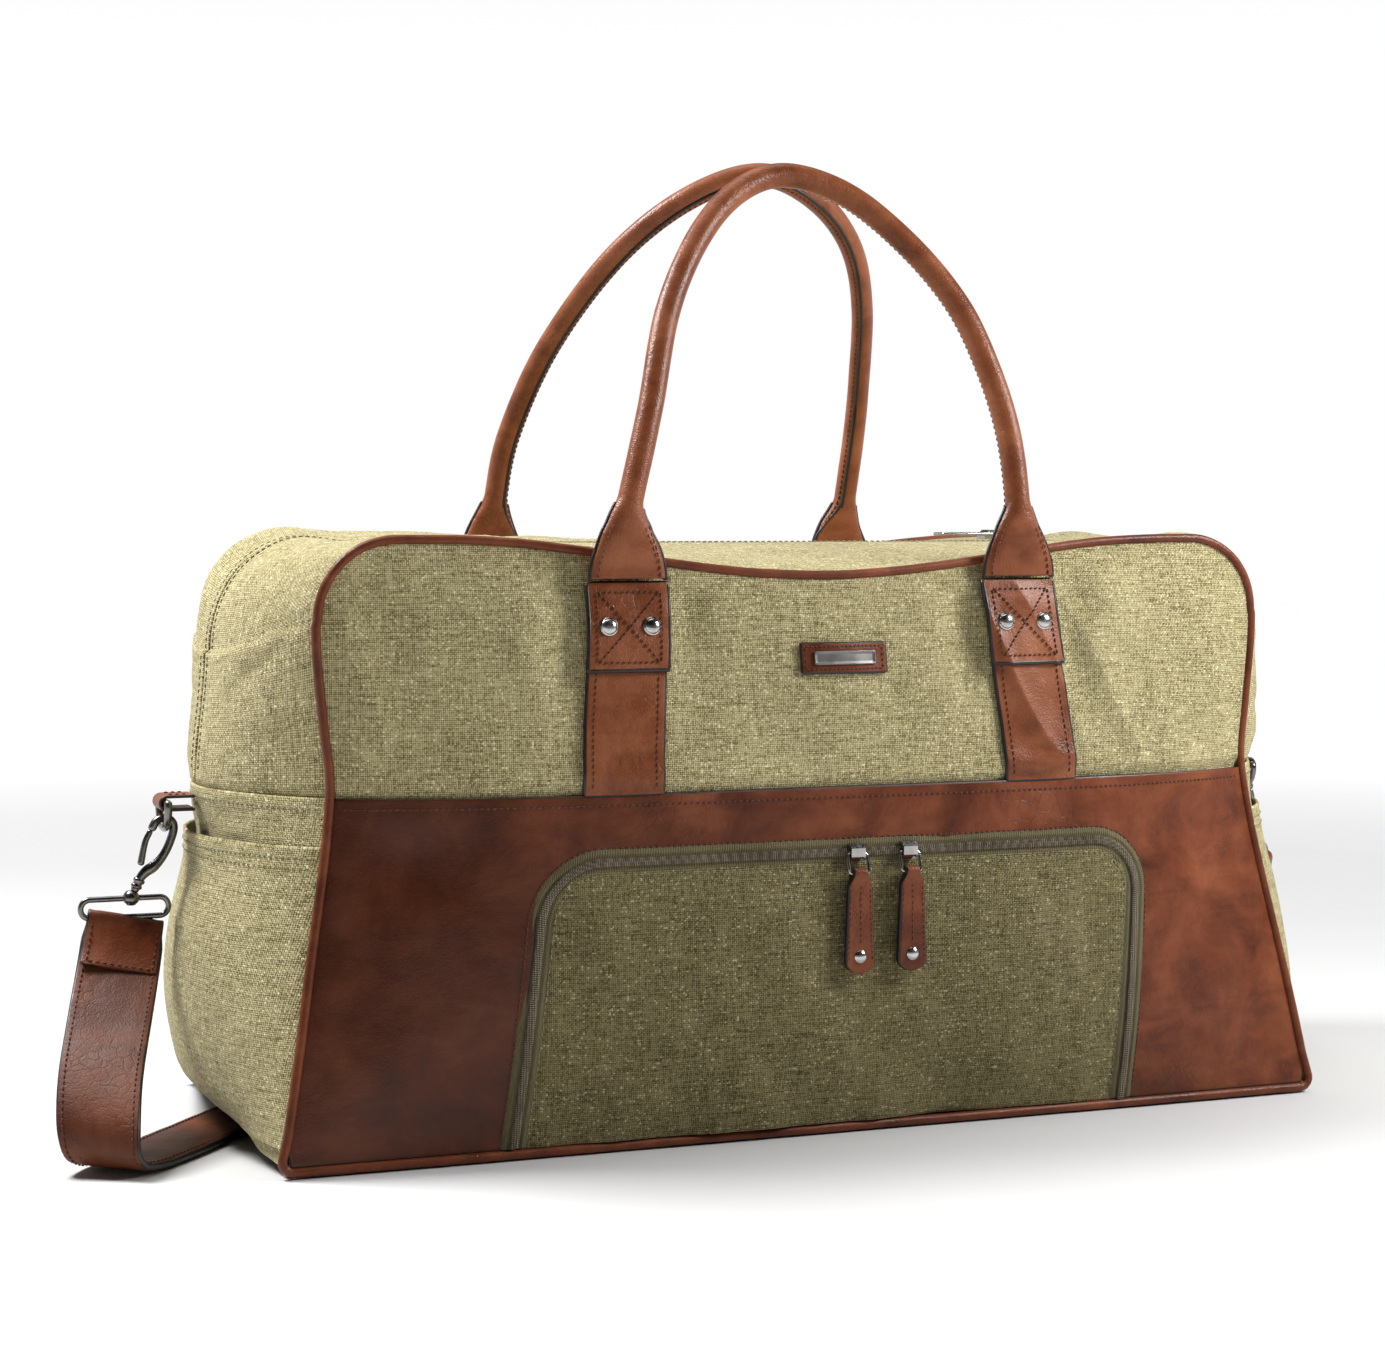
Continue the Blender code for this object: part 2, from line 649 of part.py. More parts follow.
def build_pocket_pull(hand, word):
    """Slider, wire ring, folded leather tab and rivet cap at one side of the zip's closing."""
    x = SLIDER_MIDDLE + hand * SLIDER_GAP / 2
    z = POCKET_TOP - 5.7 * MM
    back = -face(x, z) - 0.6 * MM - GAP
    low, high = z - 4.0 * MM, z + 4.0 * MM
    front = back - 5.2 * MM
    outline = [(back, low), (back, high), (front + 1.6 * MM, high), (front, high - 2.0 * MM),
               (front, low + 2.0 * MM), (front + 1.6 * MM, low)]
    slider = prism(f"pocket_slider_{word}", outline, "X", x - 3.6 * MM, x + 3.6 * MM, "nickel",
                   (x, back, z))
    eye_y = front + 2.1 * MM
    eye_z = z - 0.6 * MM
    bore = 1.25 * MM
    hole = [(eye_y + bore * math.cos(a), eye_z + bore * math.sin(a))
            for a in (2 * math.pi * k / 8 for k in range(8))]
    cut(slider, prism(f"slider_bore_{word}", hole, "X", x - 0.01, x + 0.01, "nickel"))

    wire = 0.75 * MM
    half = 5.0 * MM
    bar_z = eye_z - 9.0 * MM
    corner = 1.5 * MM
    loop = []
    for cx, cz, start in ((1, eye_z - corner, 90), (1, bar_z + corner, 0),
                          (-1, bar_z + corner, -90), (-1, eye_z - corner, -180)):
        for k in range(3):
            angle = math.radians(start - 45 * k)
            down = cz + corner * math.sin(angle)
            out = RING_TILT * (eye_z - down) / (eye_z - bar_z)
            loop.append(Vector((x + cx * (half - corner) + corner * math.cos(angle), eye_y - out,
                                down)))
    loft(f"pocket_ring_{word}", wire_rings(loop, wire, (0, eye_z - bar_z, -RING_TILT), 6),
         "nickel", (x, eye_y, eye_z), closed=True)
    bar_y = eye_y - RING_TILT

    fold = 1.9 * MM
    drop = 47.0 * MM
    length = [-drop, -drop * 0.6, -drop * 0.25, -2 * MM]
    path = [(fold, s) for s in length]
    path += [(fold * math.cos(a), fold * math.sin(a)) for a in (math.pi * k / 4 for k in range(5))]
    path += [(-fold, s) for s in reversed(length)]

    def tab(k, u):
        dy, dz = path[k]
        wide = 3.6 * MM
        if dz < 0:
            wide += 2.2 * MM * smoothstep(-dz / (6 * MM)) + 1.9 * MM * min(-dz / drop, 1.0)
        return Vector((x + u * wide, bar_y + dy, bar_z + dz))
    sheet(f"pocket_pull_{word}", tab, list(range(len(path))), [-1, 1], 1.5 * MM, "leather",
          (x, bar_y, bar_z), offset=0.0)
    dome(f"pocket_pull_rivet_{word}", (x, bar_y - fold - 1.1 * MM, bar_z - drop + 8 * MM),
         (0, -1, 0), 3.0 * MM, 1.6 * MM, "nickel", (x, bar_y, bar_z))


# ---------------------------------------------------------------- main zip slider

def build_main_slider():
    x = 0.140
    low = ZIP_TOP_Z + 1.0 * MM
    high = low + 5.0 * MM
    outline = [(x - 5.5 * MM, low), (x - 5.5 * MM, high - 2.4 * MM), (x - 2.8 * MM, high),
               (x + 2.8 * MM, high), (x + 5.5 * MM, high - 2.4 * MM), (x + 5.5 * MM, low)]
    slider = prism("main_slider", outline, "Y", -4.2 * MM, 4.2 * MM, "nickel", (x, 0, low))
    eye_z = high - 2.1 * MM
    bore = 1.3 * MM
    hole = [(x + bore * math.cos(a), eye_z + bore * math.sin(a))
            for a in (2 * math.pi * k / 8 for k in range(8))]
    cut(slider, prism("main_slider_bore", hole, "Y", -0.01, 0.01, "nickel"))
    half = 6.2 * MM
    corner = 2.0 * MM
    reach = 28.0 * MM
    loop = []
    for cx, cy, start in ((x - corner, half - corner, 0), (x - reach, half - corner, 90),
                          (x - reach, -half + corner, 180), (x - corner, -half + corner, 270)):
        for k in range(4):
            angle = math.radians(start + 30 * k)
            loop.append(Vector((cx + corner * math.cos(angle), cy + corner * math.sin(angle),
                                eye_z)))
    loft("main_pull", wire_rings(loop, 0.8 * MM, (0, 0, 1), 6), "nickel", (x, 0, eye_z),
         closed=True)


# ---------------------------------------------------------------- strap hardware

def hook_frame(side):
    """Axes of a leaning hook: along it (down) and across it (towards the bag)."""
    lean = HOOK_LEAN[side]
    along = Vector((side * math.sin(lean), 0, -math.cos(lean)))
    across = Vector((-side * math.cos(lean), 0, -math.sin(lean)))
    return Vector((side * RING_X, 0, RING_BOW_Z)), along, across


def build_strap_hardware(side, word):
    bar = Vector((side * RING_X, 0, RING_BAR_Z))
    inward = -side
    wrap = 3.1 * MM
    root = side * CHAPE_ROOT_X
    path = [(root, RING_BAR_Z + wrap), (bar.x + inward * 4 * MM, RING_BAR_Z + wrap)]
    path += [(bar.x - inward * wrap * math.sin(a), RING_BAR_Z + wrap * math.cos(a))
             for a in (math.pi * k / 6 for k in range(7))]
    path += [(bar.x + inward * 4 * MM, RING_BAR_Z - wrap), (root, RING_BAR_Z - wrap)]

    def chape(k, y):
        return Vector((path[k][0], y, path[k][1]))
    sheet(f"{word}_chape", chape, list(range(len(path))), [-8 * MM, 8 * MM], 1.5 * MM, "leather",
          bar, offset=0.0)

    half = 11.5 * MM
    drop = RING_BAR_Z - RING_BOW_Z
    bow = [Vector((bar.x, half * math.cos(a), RING_BAR_Z - drop * math.sin(a) ** 0.8))
           for a in (math.pi * k / 12 for k in range(13))]
    straight = [Vector((bar.x, y, RING_BAR_Z)) for y in steps(-half, half, 4)[1:-1]]
    loft(f"{word}_d_ring", wire_rings(bow + straight, WIRE, (1, 0, 0)), "gunmetal", bar,
         closed=True)

    origin, along, across = hook_frame(side)

    def place(p, q):
        return origin + across * (p * MM) + along * (q * MM)
    body = [(-5.0, 2.2), (-4.6, -1.4), (-2.6, -3.9), (0.2, -4.6), (3.0, -3.5), (4.6, -0.6),
            (5.3, 4.0), (5.5, 9.0), (4.9, 14.0), (3.3, 18.6), (1.2, 22.0), (0.0, 26.0), (0.0, 31.6)]
    rod(f"{word}_snap_hook", spline([place(p, q) for p, q in body], 2), 1.6 * MM, "gunmetal",
        origin)
    rod(f"{word}_hook_gate", spline([place(p, q) for p, q in ((-5.2, 4.6), (-5.1, 10), (-2.8, 19.4))], 3),
        1.2 * MM, "gunmetal", place(-2.8, 19.4))

    ball = origin + along * BALL_DROP
    oval = []
    wide, tall, corner = 20.5 * MM, 4.4 * MM, 4.2 * MM
    spread = Vector((math.cos(SWIVEL_TURN[side]), math.sin(SWIVEL_TURN[side]), 0))
    middle = Vector((ball.x + side * SWIVEL_OUT, 0, ball.z - 4.6 * MM))
    for end, start in ((1, -90), (-1, 90)):
        for k in range(7):
            angle = math.radians(start + 30 * k)
            oval.append(middle + spread * (end * (wide - corner) + corner * math.cos(angle))
                        + Vector((0, 0, tall * math.sin(angle))))
    facing = spread.cross(Vector((0, 0, 1)))
    ring = loft(f"{word}_hook_swivel", wire_rings(oval, 1.4 * MM, facing, 8), "gunmetal", ball,
                closed=True)
    knob_rings = [[ball + Vector((4.0 * MM * math.sin(b) * math.cos(a),
                                  4.0 * MM * math.sin(b) * math.sin(a), 4.0 * MM * math.cos(b)))
                   for a in (2 * math.pi * j / 10 for j in range(10))]
                  for b in (math.pi * (0.12 + 0.76 * k / 6) for k in range(7))]
    knob = loft(f"{word}_knob", knob_rings, "gunmetal", ball)
    cut(ring, knob, "UNION")


def strap_route():
    """Centreline points with their turn: 0 hangs facing front, 1 lies flat, 2 stands on edge."""
    left = [((-0.3133, 0.0000, 0.1010), 0.0), ((-0.3185, -0.0120, 0.0830), 0.08),
            ((-0.3270, -0.0360, 0.0620), 0.3), ((-0.3355, -0.0620, 0.0420), 0.5),
            ((-0.3392, -0.0780, 0.0230), 0.65), ((-0.3370, -0.0785, 0.0085), 0.85),
            ((-0.3270, -0.0670, 0.0030), 1.0), ((-0.3065, -0.0450, 0.0024), 1.0),
            ((-0.2800, -0.0130, 0.0024), 1.0), ((-0.2500, 0.0230, 0.0024), 1.0),
            ((-0.2200, 0.0590, 0.0024), 1.0), ((-0.1900, 0.0950, 0.0024), 1.0),
            ((-0.1600, 0.1310, 0.0024), 1.15), ((-0.1280, 0.1680, 0.0), 1.5),
            ((-0.0900, 0.2000, 0.0), 1.85), ((-0.0500, 0.2180, 0.0), 2.0),
            ((0.0, 0.2200, 0.0), 2.0)]
    right = [((0.0520, 0.2180, 0.0), 2.0), ((0.1030, 0.2100, 0.0), 1.85),
             ((0.1520, 0.1960, 0.0), 1.5), ((0.1960, 0.1750, 0.0024), 1.15),
             ((0.2290, 0.1520, 0.0024), 1.0), ((0.2590, 0.1260, 0.0024), 1.0),
             ((0.2870, 0.0970, 0.0024), 1.0), ((0.3080, 0.0740, 0.0030), 1.0),
             ((0.3190, 0.0610, 0.0120), 0.85), ((0.3190, 0.0520, 0.0310), 0.6),
             ((0.3130, 0.0300, 0.0560), 0.3), ((0.3075, 0.0090, 0.0780), 0.08),
             ((0.3056, 0.0000, 0.0983), 0.0)]
    return left, right


def build_strap():
    """Flat strap: hangs from the left ring, runs under the rear corners, stands on edge behind."""
    left, right = strap_route()
    centres = spline([p for p, _ in left + right], 3)
    count = len(left) + len(right)
    crown = 3 * (len(left) - 1)
    turns = []
    stations = [turn for _, turn in left + right]
    for k in range(count - 1):
        for step in range(3):
            turns.append(stations[k] + (stations[k + 1] - stations[k]) * step / 3)
    turns.append(stations[-1])
    across = []
    for k, (centre, turn) in enumerate(zip(centres, turns)):
        mirror = 1 if k <= crown else -1
        flat = Vector((STRAP_HEADING.y, -mirror * STRAP_HEADING.x, 0))
        start = Vector((math.cos(SWIVEL_TURN[-mirror]), math.sin(SWIVEL_TURN[-mirror]), 0))
        swing = smoothstep(min(turn, 1.0))
        width = (start * (1 - swing) + flat * swing).normalized()
        stand = smoothstep(max(turn - 1.0, 0.0)) * math.pi / 2
        width = width * math.cos(stand) + Vector((0, 0, -mirror)) * math.sin(stand)
        if turn > 1.0:
            rise = STRAP_WIDTH / 2 * math.sin(stand) + 3.8 * MM * math.sin(stand) ** 2
            centre.z = 0.0024 + rise
        across.append(width)

    def surface(k, u):
        return centres[k] + across[k] * (u * STRAP_WIDTH / 2)
    sheet("shoulder_strap", surface, list(range(len(centres))), [-1, 0, 1], STRAP_THICK, "leather",
          offset=0.0)
    middle = centres[crown]
    loop = []
    for cy, cz, start in ((1, 1, 0), (-1, 1, 90), (-1, -1, 180), (1, -1, 270)):
        for k in range(3):
            angle = math.radians(start + 45 * k)
            loop.append(middle + Vector((0, cy * 2.6 * MM + 1.6 * MM * math.cos(angle),
                                         cz * 19.2 * MM + 1.6 * MM * math.sin(angle))))
    loft("strap_slide_loop", wire_rings(loop, 1.3 * MM, (1, 0, 0), 8), "gunmetal", middle,
         closed=True)


FRONT_GRIP = [(-0.0984, 0.300), (-0.0861, 0.341), (-0.0714, 0.388), (-0.0494, 0.4250),
              (-0.0247, 0.4484), (0.0020, 0.4570), (0.0331, 0.4474), (0.0610, 0.4230),
              (0.0810, 0.3948), (0.0920, 0.3640), (0.0985, 0.3330), (0.1008, 0.300)]
BACK_GRIP = [(-0.0990, 0.303), (-0.0955, 0.335), (-0.0820, 0.381), (-0.0580, 0.4240),
             (-0.0280, 0.4510), (0.0060, 0.4620), (0.0400, 0.4520), (0.0680, 0.4310),
             (0.0860, 0.4020), (0.0970, 0.3650), (0.1020, 0.3330), (0.1025, 0.303)]

clear_scene()
MATERIALS = {name: make_material(name, *spec) for name, spec in FINISHES.items()}
build_base()
build_bands()
build_ends()
build_linings()
build_lower_piping()
for direction, label in ((-1, "front"), (1, "back")):
    build_mouth(direction, label)
    build_handle_fixings(direction, label)
build_badge()
build_handle("front", -1, -0.047, FRONT_GRIP)
build_handle("back", 1, -0.019, BACK_GRIP)
build_pocket_front()
build_pocket_pull(-1, "left")
build_pocket_pull(1, "right")
build_main_slider()
build_strap_hardware(-1, "left")
build_strap_hardware(1, "right")
build_strap()
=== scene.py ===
"""Looks of the canvas and leather duffel bag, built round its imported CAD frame.

Metres, +Z up, +X along the bag, the front panel faces -Y. The shape profiles repeat the
CAD part's own, so every piece lies where its CAD solid lies.
"""
import json
import math

import bmesh
import bpy
import numpy as np
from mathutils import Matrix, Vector

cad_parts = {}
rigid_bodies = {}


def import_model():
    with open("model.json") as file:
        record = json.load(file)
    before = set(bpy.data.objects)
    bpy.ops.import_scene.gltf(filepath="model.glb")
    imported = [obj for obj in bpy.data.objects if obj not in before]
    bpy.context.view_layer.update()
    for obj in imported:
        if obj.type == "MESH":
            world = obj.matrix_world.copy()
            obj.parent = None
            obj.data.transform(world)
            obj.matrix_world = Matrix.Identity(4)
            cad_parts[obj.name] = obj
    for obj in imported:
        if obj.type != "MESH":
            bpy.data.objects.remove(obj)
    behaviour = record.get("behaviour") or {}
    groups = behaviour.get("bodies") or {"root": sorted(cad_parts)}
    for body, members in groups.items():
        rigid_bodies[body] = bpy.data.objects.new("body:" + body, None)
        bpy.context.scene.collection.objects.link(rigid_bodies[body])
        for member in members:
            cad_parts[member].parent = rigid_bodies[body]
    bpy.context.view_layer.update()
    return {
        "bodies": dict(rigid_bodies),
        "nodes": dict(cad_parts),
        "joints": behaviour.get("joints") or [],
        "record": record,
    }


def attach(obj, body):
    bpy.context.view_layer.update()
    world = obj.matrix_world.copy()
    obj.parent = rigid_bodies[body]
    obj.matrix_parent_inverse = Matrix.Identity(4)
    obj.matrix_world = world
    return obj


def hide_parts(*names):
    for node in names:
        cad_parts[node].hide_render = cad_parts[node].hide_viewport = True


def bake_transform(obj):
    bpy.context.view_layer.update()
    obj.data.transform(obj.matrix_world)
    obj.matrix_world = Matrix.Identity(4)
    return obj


MM = 0.001
for leftover in list(bpy.data.objects):
    bpy.data.objects.remove(leftover)
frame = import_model()

# ---------------------------------------------------------------- camera

CAMERA_AZIMUTH = math.radians(21.3168)
CAMERA_PITCH = math.radians(3.3093)
CAMERA_DISTANCE = 1.3946
CAMERA_TARGET = Vector((-0.0334, -0.015, 0.209))
LENS_MM = 72.78


def add_camera():
    look = Vector((math.sin(CAMERA_AZIMUTH) * math.cos(CAMERA_PITCH),
                   math.cos(CAMERA_AZIMUTH) * math.cos(CAMERA_PITCH), -math.sin(CAMERA_PITCH)))
    data = bpy.data.cameras.new("camera")
    data.sensor_width = 36.0
    data.lens = LENS_MM
    camera = bpy.data.objects.new("camera", data)
    bpy.context.scene.collection.objects.link(camera)
    camera.location = CAMERA_TARGET - look * CAMERA_DISTANCE
    camera.rotation_euler = look.to_track_quat("-Z", "Y").to_euler()
    bpy.context.scene.camera = camera


add_camera()

# ---------------------------------------------------------------- shared shape, as in the CAD part

GAP = 0.4 * MM
FOLD_Z = 0.165
BELLY_PROFILE = ((0.0, 0.113), (0.05, 0.120), (0.11, 0.122), (0.165, 0.120),
                 (0.22, 0.112), (0.25, 0.106), (0.285, 0.092))
EDGE_PROFILE = ((0.0, 0.113), (0.05, 0.107), (0.11, 0.097), (0.165, 0.090),
                (0.22, 0.089), (0.25, 0.089), (0.285, 0.088))
SEAM_PROFILE = ((0.0, 0.2655), (0.08, 0.251), (0.165, 0.237), (0.20, 0.2395),
                (0.23, 0.2422), (0.25, 0.2424), (0.285, 0.2416))
END_PROFILE = ((0.0, 0.266), (0.012, 0.272), (0.03, 0.276), (0.08, 0.277),
               (0.143, 0.2765), (0.165, 0.280), (0.22, 0.275), (0.285, 0.272))
END_POCKET_BULGE = ((0.012, 0.0), (0.03, 0.006), (0.07, 0.012), (0.11, 0.009), (0.143, 0.008))
TOP_CENTRE_Z = 0.264
TOP_SHOULDER_Z = 0.281
SHOULDER_X = 0.19
PANEL_CORNER = 0.036
ZIP_TOP_Z = 0.279
ZIP_CORNER = 0.050
PIPING_RADIUS = 2.4 * MM
PIPING_ROOM = 3.2 * MM
CORNER_LIFT = 5.2 * MM
STRAP_HEADING = np.array((0.64, 0.77)) / math.hypot(0.64, 0.77)
STRAP_CROSSING = np.array((-0.280, -0.013))

POCKET_X, POCKET_HALF, POCKET_TOP, POCKET_CORNER = 0.009, 0.158, 0.1405, 0.032
SLIDER_MIDDLE, SLIDER_GAP, RING_TILT = 0.0195, 27 * MM, 2.9 * MM
TAB_X, STRIP_X, STRIP_WIDTH, TAB_TOP, TAB_FOOT = 0.1005, 0.107, 0.037, 0.2600, 0.2215
HANDLE_AXIS_Y, HANDLE_AXIS_Z, GRIP_RADIUS = 0.1095, 0.2630, 6.0 * MM
STRAP_WIDTH, STRAP_THICK = 0.038, 3.4 * MM
RING_X, CHAPE_ROOT_X, RING_BAR_Z, RING_BOW_Z = 0.2945, 0.2818, 0.1576, 0.1455
HOOK_LEAN = {-1: math.radians(26.0), 1: math.radians(13.0)}
SWIVEL_TURN = {-1: 0.0, 1: math.radians(45.0)}
SWIVEL_OUT, BALL_DROP = 3.0 * MM, 0.036
BAND_FOOT, BAND_TOP = 0.0056, FOLD_Z - GAP
PANEL_FOOT = 0.1535                       # the upper canvas runs down behind the band to here
END_POCKET_FOOT, END_POCKET_TOP = 0.0125, 0.143
FLAP_INSET, FLAP_FOOT = 9.0 * MM, 0.0058
RIVET_Z, RIVET_SPREAD = 0.2415, 10.5 * MM
TUCK = 1.5 * MM                           # sewn edges end just inside the piping
BAND_THICK, CANVAS_THICK, STRIP_THICK = 2.4 * MM, 1.8 * MM, 1.8 * MM
CANVAS_SHEET = ("canvas", "canvas", "lining")           # looks of the face, the rim and the back
LEATHER_SHEET = ("leather", "edge_brown", "lining")
FIXING_SHEET = ("handle_leather", "edge_paint", "lining")
BROWN_BASE = ("base", None, "brown_thread")             # body, mouth half and thread of a stitch row
OLIVE_BASE = ("base", None, "olive_thread")


def through(points, value):
    """Smooth curve through (key, value) pairs."""
    keys = np.array([p[0] for p in points])
    vals = np.array([p[1] for p in points])
    value = np.clip(np.asarray(value, float), keys[0], keys[-1])
    index = np.clip(np.searchsorted(keys, value) - 1, 0, len(keys) - 2)
    low = np.maximum(np.arange(len(keys)) - 1, 0)
    high = np.minimum(np.arange(len(keys)) + 1, len(keys) - 1)
    slope = (vals[high] - vals[low]) / (keys[high] - keys[low])
    span = keys[index + 1] - keys[index]
    t = (value - keys[index]) / span
    return ((2 * t ** 3 - 3 * t ** 2 + 1) * vals[index] + (t ** 3 - 2 * t ** 2 + t) * span * slope[index]
            + (3 * t ** 2 - 2 * t ** 3) * vals[index + 1] + (t ** 3 - t ** 2) * span * slope[index + 1])


def smoothstep(value):
    value = np.clip(value, 0.0, 1.0)
    return value * value * (3.0 - 2.0 * value)


def belly(z):
    return through(BELLY_PROFILE, z)


def edge(z):
    return through(EDGE_PROFILE, z)


def seam_half(z):
    return through(SEAM_PROFILE, z)


def end_half(z):
    return through(END_PROFILE, z)


def face(x, z):
    share = np.minimum(np.abs(x) / seam_half(z), 1.0)
    return edge(z) + (belly(z) - edge(z)) * (1 - share ** 4)


def lift(x, y):
    across = np.array((-STRAP_HEADING[1], STRAP_HEADING[0]))
    offset = across[0] * (-np.abs(x) - STRAP_CROSSING[0]) + across[1] * (y - STRAP_CROSSING[1])
    return CORNER_LIFT * smoothstep((offset + 0.052) / 0.022)


def round_top(x, half, top, radius):
    over = np.clip(np.abs(x) - (half - radius), 0.0, radius)
    return top - radius + np.sqrt(np.maximum(radius ** 2 - over ** 2, 0.0))


def panel_top(x, inset=0.0):
    near = np.minimum(np.abs(x), SHOULDER_X) / SHOULDER_X
    sag = TOP_CENTRE_Z + (TOP_SHOULDER_Z - TOP_CENTRE_Z) * (1 - np.cos(math.pi * near)) / 2
    half = seam_half(TOP_SHOULDER_Z) - inset
    return sag - inset - TOP_SHOULDER_Z + round_top(x, half, TOP_SHOULDER_Z, PANEL_CORNER - inset)


def arch(half_at, top_at, radius, foot, sides=44, corners=26, tops=170):
    """Points (x, z) up one side, round the corners and over the top, left to right."""
    half_top = float(half_at(TOP_SHOULDER_Z))
    shoulder = float(top_at(-(half_top - radius))) - radius
    up = np.linspace(foot, shoulder, sides, endpoint=False)
    angle = np.linspace(0, math.pi / 2, corners, endpoint=False)
    x = np.concatenate([-half_at(up), -(half_top - radius) - radius * np.cos(angle)])
    z = np.concatenate([up, shoulder + radius * np.sin(angle)])
    top = np.linspace(-(half_top - radius), half_top - radius, tops)
    return np.stack([np.concatenate([x, top, -x[::-1]]),
                     np.concatenate([z, top_at(top) + 0 * top, z[::-1]])], 1)


def panel_arch(foot):
    limit = float(seam_half(0.285)) - PANEL_CORNER
    return arch(seam_half, lambda x: panel_top(np.minimum(np.abs(x), limit)), PANEL_CORNER, foot)


def zip_arch(foot):
    return arch(end_half, lambda x: ZIP_TOP_Z + 0 * np.asarray(x), ZIP_CORNER, foot)


def crest(x, z):
    """The slack top rises a little at the left end, past the slider's travel."""
    return 4.2 * MM * smoothstep((-x - 0.198) / 0.040) * smoothstep((z - 0.225) / 0.045)


def pocket_lean(x, z):
    """The pocket's sides lean to the left going down, and spread a little."""
    down = POCKET_TOP - z
    return POCKET_X + x - 0.085 * down + 0.034 * down * x / POCKET_HALF


def slack_of(x, z):
    """How far the upper canvas stands off its true surface: slow folds, and puckers beside the tabs."""
    share = np.abs(x) / seam_half(z)
    slack = 4.4 * MM * folds(x + z * 0.4, z * 0.8, 0.092, 61)
    slack = slack + 1.3 * MM * folds(x * 1.4, z * 0.8, 0.042, 67)
    slack = slack + 2.8 * MM * (creases(x * 1.1 + z * 0.5, z * 0.35, 0.075, 23) - 0.35)
    for hand in (-1, 1):
        from_tab = x - hand * TAB_X
        under = np.exp(-((z - 0.243) / 0.034) ** 2)
        slack = slack - 2.2 * MM * np.exp(-((np.abs(from_tab) - 0.030) / 0.009) ** 2) * under
        slack = slack + 2.0 * MM * np.exp(-((np.abs(from_tab) - 0.050) / 0.012) ** 2) * under
    slack = slack - 2.4 * MM * np.exp(-(((np.abs(x) - 0.208) / 0.02) ** 2 + ((z - 0.178) / 0.014) ** 2))
    calm = smoothstep((1 - share) / 0.10) * smoothstep((panel_top(x, PIPING_ROOM) - z) / 0.016)
    return slack * calm * smoothstep((z - 0.164) / 0.02)


def smooth_noise(x, y, seed=0):
    """Seeded value noise from -1 to 1, one lattice cell per unit."""
    xi, yi = np.floor(x).astype(np.int64), np.floor(y).astype(np.int64)
    xf, yf = x - xi, y - yi
    fx = xf ** 3 * (xf * (xf * 6 - 15) + 10)
    fy = yf ** 3 * (yf * (yf * 6 - 15) + 10)

    def corner(i, j):
        with np.errstate(over="ignore"):
            n = (i * 374761393 + j * 668265263 + seed * 1442695041) & 0xffffffff
            n = ((n ^ (n >> 13)) * 1274126177) & 0xffffffff
            n = ((n ^ (n >> 15)) * 2246822519) & 0xffffffff
        return ((n ^ (n >> 16)) & 0xffff) / 32767.5 - 1.0
    low = corner(xi, yi) * (1 - fx) + corner(xi + 1, yi) * fx
    high = corner(xi, yi + 1) * (1 - fx) + corner(xi + 1, yi + 1) * fx
    return low * (1 - fy) + high * fy


def folds(x, y, size, seed, octaves=3, rough=0.5):
    total, gain, norm = 0.0, 1.0, 0.0
    for k in range(octaves):
        total = total + gain * smooth_noise(x / size * 2 ** k, y / size * 2 ** k, seed + 17 * k)
        norm += gain
        gain *= rough
    return total / norm


def creases(x, y, size, seed):
    """Sharp-crested ridges, as where thick cloth buckles: 1 on a crest, towards 0 between."""
    return (1 - np.abs(folds(x, y, size, seed, 2))) ** 4


# ---------------------------------------------------------------- mesh building

STITCHES = {}
LOOKS = {}


def unit(vectors):
    return vectors / np.maximum(np.linalg.norm(vectors, axis=-1, keepdims=True), 1e-12)


def finish_mesh(name, verts, faces, coords, marks, looks, body, mouth=None, stands_for=(),
                recalc=True):
    """Link a mesh with its material coordinates, then tie it to its CAD body."""
    mesh = bpy.data.meshes.new(name)
    mesh.from_pydata(np.asarray(verts).tolist(), [], faces)
    place = mesh.attributes.new("cloth", "FLOAT_VECTOR", "POINT")
    place.data.foreach_set("vector", np.asarray(coords, np.float32).ravel())
    for look in looks:
        mesh.materials.append(LOOKS[look])
    if marks is not None:
        mesh.polygons.foreach_set("material_index", np.asarray(marks, np.int32))
    if recalc:
        shape = bmesh.new()
        shape.from_mesh(mesh)
        bmesh.ops.recalc_face_normals(shape, faces=shape.faces)
        shape.to_mesh(mesh)
        shape.free()
    mesh.shade_smooth()
    item = bpy.data.objects.new(name, mesh)
    bpy.context.scene.collection.objects.link(item)
    if mouth:
        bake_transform(item)
    else:
        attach(item, body)
    if stands_for:
        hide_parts(*stands_for)
    return item


def normals_of(P, cyclic=False):
    du = np.roll(P, -1, 1) - np.roll(P, 1, 1) if cyclic else np.gradient(P, axis=1)
    return unit(np.cross(du, np.gradient(P, axis=0)))


def metric(P):
    """Distances along the rows and columns, so weave and grain keep their real size."""
    rows = np.linalg.norm(np.diff(P, axis=1), axis=2)
    cols = np.linalg.norm(np.diff(P, axis=0), axis=2)
    across = np.concatenate([np.zeros((P.shape[0], 1)), np.cumsum(rows, 1)], 1)
    across -= across[:, across.shape[1] // 2][:, None]
    along = np.concatenate([np.zeros((1, P.shape[1])), np.cumsum(cols, 0)], 0)
    return np.stack([across, along, 0 * along], 2)


